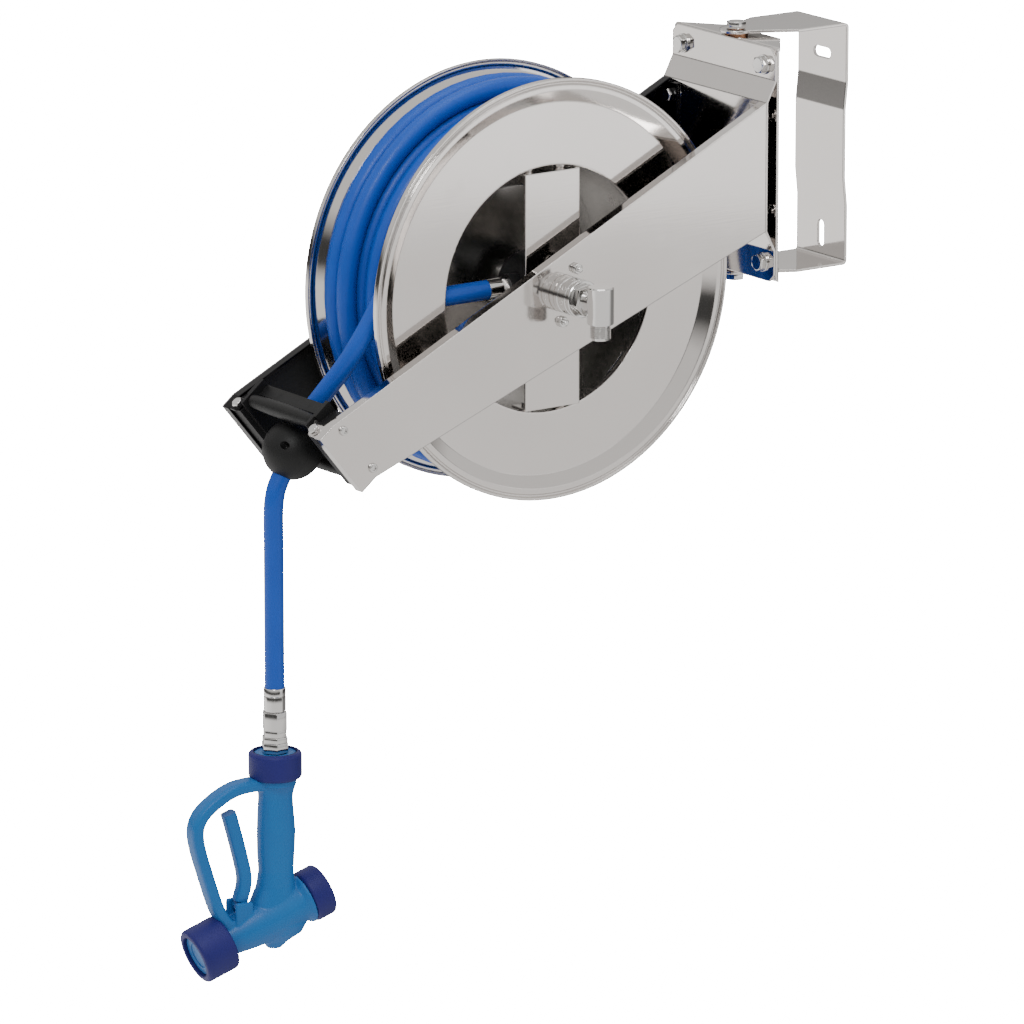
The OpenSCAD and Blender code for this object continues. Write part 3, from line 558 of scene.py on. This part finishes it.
@dataclass
class Studio:
    """Camera, lights, floor and backdrop."""

    eye: tuple[float, float, float] = (6.8299, -5.1897, 1.7582 - DATUM)
    ahead: tuple[float, float, float] = (-0.79358, 0.55747, -0.24388)
    lens: float = 298.8
    floor: float = -1.05 - DATUM
    floor_glow: float = 1.0
    ceiling: float = 0.80
    horizon: float = 0.06

    def build(self) -> None:
        """Makes the studio."""
        scene = bpy.context.scene
        data = bpy.data.cameras.new("camera")
        data.lens, data.sensor_width = self.lens, 36.0
        data.clip_end = 60.0
        camera = bpy.data.objects.new("camera", data)
        camera.location = self.eye
        camera.rotation_mode = "QUATERNION"
        camera.rotation_quaternion = Vector(self.ahead).to_track_quat("-Z", "Y")
        scene.collection.objects.link(camera)
        scene.camera = camera
        self._backdrop()
        self._light("key", (2.4, -2.6, 2.8), 1.3, 62.0)
        self._light("fill", (3.4, 2.0, 0.2), 2.4, 14.0)
        self._light("top", (0.2, -0.2, 3.2), 2.2, 34.0)
        world = bpy.data.worlds.new("studio")
        scene.world = world
        world.use_nodes = True
        tree = world.node_tree
        shade = tree.nodes["Background"]
        shade.inputs["Color"].default_value = (1.0, 0.985, 0.965, 1.0)
        aim = tree.nodes.new("ShaderNodeTexCoord")
        split = tree.nodes.new("ShaderNodeSeparateXYZ")
        tree.links.new(aim.outputs["Generated"], split.inputs[0])
        height = Tap(tree, split.outputs[2])
        floor_glow = ((height + 0.05) * -9.0).clamped() * self.floor_glow
        ceiling = ((height - 0.08) * 6.0).clamped() * self.ceiling
        across = Tap(tree, split.outputs[0]) * -0.42 + Tap(tree, split.outputs[1]) * 0.906
        flag = 1.0 - ((across - 0.35) * 3.0).clamped() * 0.8
        behind = Tap(tree, split.outputs[0]) * -0.82 + Tap(tree, split.outputs[1]) * -0.57
        lift = ((behind - 0.3) * 2.5).clamped() * 0.5 + 1.0
        tree.links.new((floor_glow * flag * lift + ceiling + self.horizon).socket, shade.inputs["Strength"])

    def _light(self, name: str, place: Sequence[float], size: float, power: float) -> None:
        """Adds a square soft light aimed at the reel."""
        data = bpy.data.lights.new(name, "AREA")
        data.size, data.energy = size, power
        lamp = bpy.data.objects.new(name, data)
        lamp.location = place
        lamp.rotation_mode = "QUATERNION"
        lamp.rotation_quaternion = (Vector((0, -0.4, -0.2)) - Vector(place)).to_track_quat("-Z", "Y")
        bpy.context.scene.collection.objects.link(lamp)

    def _backdrop(self) -> None:
        """Adds a pale round floor that curves up into a dome, and neither lights nor shades the reel."""
        wide, curve = 22.0, 5.0
        run = [(0.0, 0.0), (wide - curve, 0.0)]
        for k in range(1, 13):
            a = math.radians(7.5 * k)
            run.append((wide - curve + curve * math.sin(a), curve - curve * math.cos(a)))
        for k in range(1, 10):
            a = math.radians(10 * k)
            run.append((wide * math.cos(a), curve + wide * math.sin(a)))
        dome = Mesh()
        dome.lathe(run, Matrix.Translation((0, -0.4, self.floor)), 72)
        for face in dome.bm.faces:
            face.smooth = True
        mesh = bpy.data.meshes.new("backdrop")
        dome.bm.to_mesh(mesh)
        dome.bm.free()
        sheet = bpy.data.objects.new("backdrop", mesh)
        bpy.context.scene.collection.objects.link(sheet)
        g = Graph("backdrop")
        pale = g.mixed((0.96, 0.96, 0.96), (1.0, 1.0, 1.0), g.noise(0.8))
        g.feed("Base Color", pale)
        g.feed("Emission Color", pale)
        g.hold(Roughness=0.9, Emission_Strength=30.0)
        mesh.materials.append(g.material)
        sheet.visible_diffuse = sheet.visible_glossy = sheet.visible_shadow = False


@dataclass
class Hose:
    """The hose: its free run, its coils on the drum and the turn that leads to the run."""

    ball_drop: tuple[float, float, float] = (0.0, -0.0149733, -0.0282803)

    def route(self) -> list[Vector]:
        """Returns the run's points, from the winding to the ferrule."""
        ball, drop = MOUTH, Vector(self.ball_drop)
        points = [(42, -542, -17), (42, -560, -52), (42, -578, -87), (40, -590, -109), (35, -602, -132)]
        points += [(27, -613, -154), (17, -624, -174), (8, -633, -191), (2, -639, -202)]
        tail = [(0, -677.6, -276), (0, -680.2, -287)]
        tail += [(0, -681.3, z) for z in (-300, -330, -370, -410, -445, -479)]
        before, after = ([HOME @ (Vector(p) * MM) for p in part] for part in (points, tail))
        return [*before, ball - drop, ball.copy(), ball + drop, *after]

    def build(self, riders: Sequence[object]) -> None:
        """Makes the hose.

        Args:
            riders: what hangs on the run; not used.
        """
        path = smooth_path(self.route(), 6)
        run = self._curve("hose_run_tube", path)
        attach(run, "reel_frame")
        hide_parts("hose_run")
        length = sum((b - a).length for a, b in zip(path, path[1:]))
        self._turn()
        self._coils()

    def _curve(self, name: str, path: Sequence[Vector]) -> bpy.types.Object:
        """Returns a round tube that follows path as a curve."""
        data = bpy.data.curves.new(name, "CURVE")
        data.dimensions = "3D"
        data.bevel_depth, data.bevel_resolution = HOSE_R, 7
        data.use_fill_caps = True
        spline = data.splines.new("POLY")
        spline.points.add(len(path) - 1)
        for point, place in zip(spline.points, path):
            point.co = (*place, 1.0)
        spline.use_smooth = True
        made = bpy.data.objects.new(name, data)
        data.materials.append(paint(Finish.HOSE))
        bpy.context.scene.collection.objects.link(made)
        return made

    def _round_drum(self, points: Iterable[tuple[float, float, float]]) -> list[Vector]:
        """Returns points given as place along the axis, radius and angle, in mm and degrees."""
        return [
            DRUM + Vector((x * MM, r * MM * math.cos(math.radians(a)), r * MM * math.sin(math.radians(a))))
            for x, r, a in points
        ]

    def _turn(self) -> None:
        """The last turn on the drum, which the run leaves and the frame side keeps still."""
        start = 180 - math.degrees(math.atan2(83, 157))
        path = []
        for k in range(0, 109):
            a = start - 3 * k
            tuck = min(1.0, max(0.0, (k - 92) / 16))
            path.append((42 - 1.0 * tuck, 177.6 - 2.5 * tuck, a))
        turn = Mesh()
        self._tube(turn, self._round_drum(path))
        turn.piece("hose_last_turn", Finish.HOSE, "reel_frame")

    def _coils(self) -> None:
        """The coils under it: three layers in each other's grooves, and two turns piled at the rear disc."""
        layers = [(139.4, (-42, -21, 0, 21, 42)), (156.7, (31.5, 10.5, -10.5, -31.5))]
        layers += [(174.0, (20.8, 0, -21, -42)), (193.7, (-42.4, -21.9))]
        points: list[tuple[float, float, float]] = []
        a = 200.0
        for radius, lanes in layers:
            for lane in lanes:
                last = points[-1] if points else (lane, radius, a)
                for k in range(0, 61):
                    ease = min(1.0, k / 7)
                    ease = ease * ease * (3 - 2 * ease)
                    lie = a + 6 * k
                    slack = 0.3 * math.sin(math.radians(3 * lie + 40 * lane)) if abs(lane) < 40 else 0.0
                    across = last[0] + (lane - last[0]) * ease + slack
                    points.append((across, last[1] + (radius - last[1]) * ease, lie))
                a += 366
        coils = Mesh()
        self._tube(coils, self._round_drum(points))
        coils.piece("hose_coils", Finish.HOSE, "drum", ["hose_winding"])

    def _tube(self, mesh: Mesh, path: Sequence[Vector]) -> None:
        """Adds a round tube along a path."""
        rings = []
        for k, place in enumerate(path):
            ahead = (path[min(k + 1, len(path) - 1)] - path[max(k - 1, 0)]).normalized()
            side = Vector((1, 0, 0)) - ahead * ahead.x
            side.normalize()
            up = ahead.cross(side)
            at = Matrix((side, up, ahead)).transposed().to_4x4()
            at.translation = place
            rings.append((at, HOSE_R, HOSE_R))
        mesh.sweep(rings, 18)


def hex_head(mesh: Mesh, at: Matrix, across: float, height: float) -> None:
    """Adds a chamfered hexagon head that stands on Z=0."""
    mesh.prism(6, across / math.sqrt(3), height, at, 0.0005)
    mesh.lathe(
        [(0.0, height + 0.0003), (across * 0.455, height + 0.0003), (across * 0.495, height - 0.0004)], at, 48
    )


def threaded_end(mesh: Mesh, at: Matrix, radius: float, length: float, pitch: float) -> None:
    """Adds a threaded rod standing on Z=0, with a chamfered tip."""
    root = radius - pitch * 0.55
    tip = [(root, length - pitch * 0.4), (root * 0.85, length), (0.0, length)]
    mesh.lathe([(0.0, 0.0), (root, 0.0), *tip], at, 32)
    mesh.thread(radius, pitch, length, at, pitch * 0.5)


@dataclass
class Fasteners:
    """The bolts, washers and nuts that show, with broken edges and real threads."""

    def build(self) -> None:
        """Makes them."""
        self._base()
        self._arms()
        self._pivots()
        self._swivel()
        self._outlet()

    def _base(self) -> None:
        """Four M10 bolts through the hat plate and yoke, and their nuts."""
        bolts, nuts = Mesh(), Mesh()
        for x in (-0.069, 0.069):
            for z in (-0.102, 0.102):
                at = HOME @ moved(x, -0.129, z) @ turned("X", 90)
                washer = [(0.0, 0.0), (0.0096, 0.0), (0.01, 0.0004)]
                washer += [(0.01, 0.0016), (0.0096, 0.002), (0.0, 0.002)]
                bolts.lathe(washer, at)
                angle = 17 * x / 0.069 + 200 * z
                hex_head(bolts, at @ moved(0, 0, 0.002) @ turned("Z", angle), 0.016, 0.0061)
                threaded_end(bolts, at @ moved(0, 0, -0.0005) @ turned("X", 180), 0.005, 0.014, 0.0015)
                hex_head(nuts, at @ moved(0, 0, -0.0055) @ turned("X", 180) @ turned("Z", 11), 0.016, 0.0067)
        bolts.piece("base_bolt_set", Finish.MACHINED, "reel_frame", ["base_bolts"])
        nuts.piece("base_nut_set", Finish.MACHINED, "reel_frame", ["base_nuts"])

    def _arms(self) -> None:
        """Four M8 bolts that hold the arms to the hat plate."""
        bolts, nuts = Mesh(), Mesh()
        for x in (-0.074, 0.074):
            for z in (-0.0495, 0.0495):
                at = HOME @ moved(x, -0.140, z) @ turned("X", 90)
                hex_head(bolts, at @ moved(0, 0, 0.0025) @ turned("Z", 300 * x), 0.013, 0.005)
                threaded_end(bolts, at @ turned("X", 180), 0.004, 0.011, 0.00125)
                inner = at @ moved(0, 0, -0.0025) @ turned("X", 180)
                hex_head(nuts, inner @ turned("Z", 250 * x), 0.013, 0.0062)
        bolts.piece("arm_bolt_set", Finish.MACHINED, "reel_frame", ["arm_bolts"])
        nuts.piece("arm_nut_set", Finish.MACHINED, "reel_frame", ["arm_nuts"])

    def _pivots(self) -> None:
        """The two bolts the reel swivels on."""
        bolts, nuts = Mesh(), Mesh()
        for turn in (0, 180):
            at = HOME @ moved(0, -0.113, 0) @ turned("Y", turn)
            hex_head(bolts, at @ moved(0, 0, 0.1271) @ turned("Z", 8), 0.018, 0.0071)
            bolts.lathe([(0.0, 0.1271), (0.006, 0.1271), (0.006, 0.1185), (0.0, 0.1185)], at, 48)
            threaded_end(bolts, at @ moved(0, 0, 0.1185) @ turned("X", 180), 0.006, 0.0135, 0.00175)
            hex_head(nuts, at @ moved(0, 0, 0.118) @ turned("X", 180) @ turned("Z", 20), 0.018, 0.0097)
        bolts.piece("pivot_bolt_set", Finish.MACHINED, "reel_frame", ["pivot_bolts"])
        nuts.piece("pivot_nut_set", Finish.MACHINED, "reel_frame", ["pivot_nuts"])

    def _swivel(self) -> None:
        """Two M6 bolts through the bearing flange and the arm, with nuts outside."""
        bolts = Mesh()
        for turn in (72, 252):
            at = AT_DRUM @ turned("X", turn) @ moved(0.082, 0.0275, 0) @ ALONG_X
            hex_head(bolts, at @ turned("X", 180), 0.010, 0.0037)
            hex_head(bolts, at @ moved(0, 0, 0.0065) @ turned("Z", 0.2 * turn), 0.010, 0.0047)
            bolts.lathe([(0.0, 0.0), (0.003, 0.0), (0.003, 0.0065), (0.0, 0.0065)], at, 32)
            threaded_end(bolts, at @ moved(0, 0, 0.0065), 0.003, 0.009, 0.001)
        bolts.piece("swivel_bolt_set", Finish.MACHINED, "reel_frame", ["swivel_bolts"])

    def _outlet(self) -> None:
        """Socket screws in the arms' faces, and the bolts through the lugs."""
        screws, lugs = Mesh(), Mesh()
        for side in (-1, 1):
            for u in (-0.0275, 0.0275):
                at = AT_MOUTH @ moved(side * FRAME_HALF, u, -0.0245) @ turned("Y", 90 * side)
                dome = [(0.0026, 0.0014), (0.0026, 0.0029), (0.003, 0.003)]
                dome += [(0.0041, 0.0026), (0.0048, 0.0012), (0.005, 0.0)]
                screws.lathe([(0.0, 0.0014), *dome, (0.0, 0.0)], at, 48)
                shank = [(0.0, 0.0), (0.0025, 0.0), (0.0025, 0.015), (0.0, 0.015)]
                screws.lathe(shank, at @ turned("X", 180), 32)
            at = AT_MOUTH @ moved(side * 0.0685, 0.04, -0.0085) @ turned("X", -90)
            hex_head(lugs, at @ turned("Z", 12 * side), 0.010, 0.0037)
            threaded_end(lugs, at @ turned("X", 180), 0.003, 0.013, 0.001)
        screws.piece("guide_screw_set", Finish.MACHINED, "reel_frame", ["guide_screws"])
        lugs.piece("lug_bolt_set", Finish.MACHINED, "reel_frame", ["lug_bolts"])


@dataclass
class Inlet:
    """The water swivel on the front arm, its nut and the elbow with the pipe thread."""

    def build(self) -> None:
        """Makes the inlet."""
        at = AT_DRUM @ moved(FRAME_HALF, 0, 0) @ ALONG_X
        body = Mesh()
        bore, neck, wide, waist = 0.01206, 0.011, 0.019, 0.0182
        outer = [(0.0185, 0.0), (wide, 0.0006), (wide, 0.0055), (waist, 0.006), (waist, 0.0078)]
        outer += [(wide, 0.0084), (wide, 0.0186), (waist, 0.0192), (waist, 0.021), (wide, 0.0216)]
        outer += [(wide, 0.0252), (waist, 0.026), (neck, 0.026), (neck, 0.030), (0.006, 0.030)]
        body.lathe([(bore, 0.0), *outer, (0.006, 0.022), (bore, 0.022), (bore, 0.0)], at, 96)
        for k in range(8):
            spot = at @ turned("Z", 45 * k + 10) @ moved(0.0191, 0, 0.0135) @ turned("Y", 90)
            dimple = [(0.0, -0.0006), (0.0016, -0.0006), (0.0021, 0.0001)]
            dimple += [(0.0026, 0.0001), (0.0029, -0.0006)]
            body.lathe(dimple, spot, 24)
        body.piece("swivel_barrel", Finish.MACHINED, "reel_frame", ["swivel_body"])
        nut = Mesh()
        hex_head(nut, at @ moved(0, 0, 0.026) @ turned("Z", 14), 0.028, 0.0087)
        nut.piece("swivel_hex", Finish.MACHINED, "reel_frame", ["swivel_nut"])
        elbow = Mesh()
        arm = [(0.006, 0.030), (0.0105, 0.030), (0.011, 0.0305), (0.011, 0.0545), (0.006, 0.0545)]
        elbow.lathe(arm, at, 64)
        down = AT_DRUM @ moved(0.143, 0, 0)
        wall = [(0.0, 0.018), (0.0122, 0.018), (0.0135, 0.0168), (0.0135, -0.0185), (0.0128, -0.0197)]
        wall += [(0.0096, -0.0197), (0.0092, -0.0207), (0.0092, -0.0347), (0.0088, -0.0357), (0.007, -0.0357)]
        elbow.lathe([*wall, (0.007, 0.005), (0.0, 0.005)], down, 96)
        elbow.thread(0.010478, 0.001814, 0.0145, down @ moved(0, 0, -0.0352), 0.0013)
        elbow.piece("elbow_turned", Finish.MACHINED, "reel_frame", ["inlet_elbow"])


@dataclass
class Outlet:
    """The rollers at the mouth."""

    def build(self) -> None:
        """Makes the rollers."""
        for name, node, body, u in (
            ("roller_upper", "top_roller", "upper_roller", 0.038),
            ("roller_lower", "bottom_roller", "lower_roller", -0.038),
        ):
            self._roller(name, node, body, AT_MOUTH @ moved(0, u, -0.018) @ ALONG_X, 0.054, 0.008)
        for name, node, body, x in (
            ("roller_front", "front_roller", "roller_front_side", 0.024),
            ("roller_rear", "rear_roller", "roller_rear_side", -0.024),
        ):
            self._roller(name, node, body, AT_MOUTH @ moved(x, 0, -0.033) @ turned("X", 90), 0.027, 0.0075)

    def _roller(self, name: str, node: str, body: str, at: Matrix, half: float, radius: float) -> None:
        """Makes one barrel-shaped roller with rounded ends and a bore."""
        profile = [(0.0031, -half), (radius - 0.0025, -half), (radius - 0.0018, -half + 0.0006)]
        for k in range(-10, 11):
            t = k / 10
            profile.append((radius - 0.0015 * t * t, t * (half - 0.0015)))
        profile += [(radius - 0.0018, half - 0.0006), (radius - 0.0025, half)]
        profile += [(0.0031, half), (0.0031, -half)]
        roller = Mesh()
        roller.lathe(profile, at, 64)
        roller.piece(name, Finish.BLACK, body, [node])


@dataclass
class HoseEnd:
    """The crimped ferrule, the nut and the stepped nipple above the gun."""

    def build(self) -> None:
        """Makes the fittings."""
        top = moved(0, HANG_Y, HOSE_TOP)
        ferrule = Mesh()
        collar = [(0.0101, 0.0), (0.0108, 0.0), (0.0112, -0.0006)]
        collar += [(0.0112, -0.0076), (0.0106, -0.0084), (0.0, -0.0084)]
        ferrule.lathe([(0.0, -0.0001), *collar], top, 64)
        ferrule.prism(8, 0.0114, 0.0155, top @ moved(0, 0, -0.024) @ turned("Z", 10), 0.0007)
        ferrule.piece("ferrule_crimped", Finish.MACHINED, "reel_frame", ["hose_ferrule"])
        nut = Mesh()
        hex_head(nut, top @ moved(0, 0, -0.0435) @ turned("Z", 5), 0.0228, 0.0187)
        nut.lathe([(0.0, -0.0245), (0.009, -0.0245), (0.009, -0.024), (0.0, -0.024)], top, 48)
        nut.piece("hose_nut_hex", Finish.MACHINED, "reel_frame", ["hose_nut"])
        nipple = Mesh()
        steps = ((-0.0505, 0.007, 0.022), (-0.0565, 0.006, 0.024), (-0.0665, 0.010, 0.025))
        for start, length, across in steps:
            nipple.prism(6, across / math.sqrt(3), length, top @ moved(0, 0, start) @ turned("Z", 5), 0.0006)
        for radius, high, low in ((0.011, -0.0665, -0.0725), (0.009, -0.0725, -0.0885)):
            rim = [(0.0, high), (radius, high), (radius, low + 0.0005), (radius - 0.0005, low), (0.0, low)]
            nipple.lathe(rim, top, 64)
        nipple.piece("nipple_stepped", Finish.MACHINED, "reel_frame", ["hose_nipple"])


@dataclass
class Gun:
    """The washing gun: a cast body with guard, its rubber rings, its nozzle and trigger."""

    def build(self) -> None:
        """Makes the gun."""
        self._body()
        self._rings()
        self._trigger()

    def _strap(self, mesh: Mesh, path: Sequence[tuple[float, float]], half_w: float, half_t: float) -> None:
        """Adds a flat bar along a path of Y and Z, in mm, in the gun's frame."""
        line = smooth_path([(0, y * MM, z * MM) for y, z in path], 8)
        rings = []
        for k, place in enumerate(line):
            ahead = (line[min(k + 1, len(line) - 1)] - line[max(k - 1, 0)]).normalized()
            side = Vector((1, 0, 0))
            at = Matrix((side, ahead.cross(side), ahead)).transposed().to_4x4()
            at.translation = place
            rings.append((AT_GUN @ at, half_w, half_t))
        mesh.sweep(rings, 28, squareness=0.55)

    def _body(self) -> None:
        """Makes the cast body as one fused skin."""
        cast = Mesh()
        rings = []
        sections = [(141, 0, 21, 20), (135, 0.5, 20.5, 17), (129, 0.5, 18.6, 14.6), (122, 0, 17.6, 14)]
        sections += [(108, 0, 18.6, 14.4), (86, 0.5, 20, 15), (64, 0, 19.2, 14.8), (46, 0, 18, 14.4)]
        sections += [(30, -1, 19.8, 15.2), (16, -3, 24.5, 17)]
        sections += [(2, -2, 29, 20), (-10, 2, 30, 21), (-20, 2, 25, 17), (-28, -1, 13, 11), (-35, -3, 7, 7)]
        for z, y, depth, width in sections:
            rings.append((AT_GUN @ moved(0, y * MM, z * MM), width * MM, depth * MM))
        cast.sweep(rings, 40, squareness=0.85)
        guard = [(-2, 137.5), (-22, 138.2), (-44, 136.5), (-62, 129.5), (-80, 117), (-88, 105), (-89.5, 92)]
        guard += [(-86, 74), (-80, 54), (-73.5, 33), (-68, 17), (-62, 5), (-54, -5), (-45, -12)]
        self._strap(cast, guard, 0.0112, 0.0066)
        barrel = [(0.0, -0.055), (0.0168, -0.055), (0.0168, -0.034), (0.0262, -0.0338), (0.0255, -0.031)]
        barrel += [(0.0215, -0.026), (0.0220, -0.018), (0.0228, -0.008), (0.0232, 0.004)]
        barrel += [(0.0226, 0.020), (0.0208, 0.034), (0.0186, 0.048)]
        barrel += [(0.0168, 0.058), (0.0168, 0.090), (0.0, 0.090)]
        cast.lathe(barrel, AT_BARREL, 64)
        for x in (-0.0133, 0.0079):
            cast.box((x, -0.051, -0.016), (x + 0.0054, -0.031, 0.020), AT_GUN, 0.0024)
        cast.fuse(0.0011, 6)
        socket = [(0.0213, 0.1365), (0.0213, 0.1676), (0.0207, 0.1682)]
        socket += [(0.0124, 0.1682), (0.0118, 0.1676), (0.0118, 0.157)]
        cast.lathe([(0.0, 0.1365), *socket, (0.0091, 0.157), (0.0091, 0.142), (0.0, 0.142)], AT_GUN, 80)
        head = [(0.0, 0.084), (0.0214, 0.084), (0.0214, 0.0928), (0.0207, 0.0935)]
        head += [(0.0135, 0.0935), (0.0130, 0.0930)]
        cast.lathe([*head, (0.0130, 0.0925), (0.0, 0.0925)], AT_BARREL, 80)
        back = [(0.0, -0.050), (0.0195, -0.050), (0.0205, -0.0507)]
        back += [(0.0205, -0.0525), (0.0195, -0.0532), (0.0, -0.0532)]
        cast.lathe(back, AT_BARREL, 80)
        cast.piece("gun_casting", Finish.GUN, "gun", ["gun_body"], 40.0)

    def _ring(
        self, name: str, node: str, at: Matrix, bore: float, radius: float, length: float, deep: float
    ) -> None:
        """Makes a rubber ring with soft shoulders and, where it is deep, a wider mouth."""
        corner = 0.0042
        outer = [(bore, 0.0), (radius - corner, 0.0)]
        outer += [
            (radius - corner + corner * math.sin(a), corner - corner * math.cos(a))
            for a in (math.radians(15 * k) for k in range(1, 7))
        ]
        outer += [(radius, length * 0.5)]
        outer += [
            (radius - corner + corner * math.cos(a), length - corner + corner * math.sin(a))
            for a in (math.radians(15 * k) for k in range(0, 7))
        ]
        lip = 0.0215 if deep else bore
        outer += [(lip + 0.0008, length), (lip, length - 0.0008)]
        outer += [(lip, length - deep), (bore, length - deep), (bore, 0.0)]
        ring = Mesh()
        ring.lathe(outer, at, 96)
        ring.piece(name, Finish.RING, "gun", [node], 30.0)

    def _rings(self) -> None:
        """Makes the three rubber rings and the nozzle."""
        self._ring("ring_inlet", "inlet_ring", AT_GUN @ moved(0, 0, 0.142), 0.0215, 0.027, 0.028, 0.0)
        self._ring("ring_front", "front_ring", AT_BARREL @ moved(0, 0, 0.0605), 0.017, 0.029, 0.037, 0.0135)
        rear = AT_BARREL @ moved(0, 0, -0.034) @ turned("X", 180)
        self._ring("ring_rear", "rear_ring", rear, 0.017, 0.027, 0.023, 0.006)
        nozzle = Mesh()
        tip = [(0.0, 0.070), (0.0118, 0.070), (0.0118, 0.0912), (0.0112, 0.092)]
        tip += [(0.0062, 0.092), (0.004, 0.089), (0.004, 0.075)]
        nozzle.lathe([*tip, (0.0, 0.075)], AT_BARREL, 64)
        nozzle.piece("nozzle_tip", Finish.GUN, "gun", ["nozzle"])

    def _trigger(self) -> None:
        """Makes the trigger and its pin."""
        trigger = Mesh()
        lever = [(-40.9, 18.6), (-39.3, 24), (-36.5, 34), (-36, 45)]
        lever += [(-39, 60), (-44.5, 82), (-51, 106), (-53, 112)]
        self._strap(trigger, lever, 0.0072, 0.0072)
        pivot = AT_GUN @ moved(0, -0.041, 0.014) @ ALONG_X
        bore, half = 0.00256, 0.0069
        eye = [(bore, -half), (0.005, -half), (0.0054, 0.0004 - half)]
        eye += [(0.0054, half - 0.0004), (0.005, half), (bore, half), (bore, -half)]
        trigger.lathe(eye, pivot, 48)
        trigger.piece("trigger_lever", Finish.GUN, "gun_trigger", ["trigger"], 50.0)
        pin = Mesh()
        bar = [(0.0, -0.0119), (0.0021, -0.0119), (0.0025, -0.0115)]
        bar += [(0.0025, 0.0115), (0.0021, 0.0119), (0.0, 0.0119)]
        pin.lathe(bar, pivot, 32)
        pin.piece("trigger_pin_turned", Finish.MACHINED, "gun", ["trigger_pin"])


def camera_first() -> None:
    """Makes the camera and the studio."""
    Studio().build()


def paint_frame(frame: dict) -> None:
    """Gives every CAD node its material."""
    of_node = {s["node"]: s["material_slot"] for s in frame["record"]["subparts"]}
    for name, node in frame["nodes"].items():
        node.data.materials.clear()
        # The rear arm takes the sheet with the painted dark reflection on its inner face.
        dark = {"rear_arm": Finish.ARM_PAINTED_REFLECTION}.get(name)
        node.data.materials.append(paint(dark or Finish(of_node[name])))


def main() -> None:
    """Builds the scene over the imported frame."""
    logging.basicConfig(level=logging.INFO)
    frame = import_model()
    camera_first()
    Hose().build(
        [
            "hose_ferrule", "hose_nut", "hose_nipple", "ball_outer", "ball_inner", "ball_screws", "gun_body",
            "inlet_ring", "front_ring", "rear_ring", "nozzle", "gun_valve", "trigger", "trigger_pin",
        ]
    )
    for assembly in (Fasteners(), Inlet(), Outlet(), HoseEnd(), Gun()):
        assembly.build()
    paint_frame(frame)


if __name__ == "__main__":
    main()
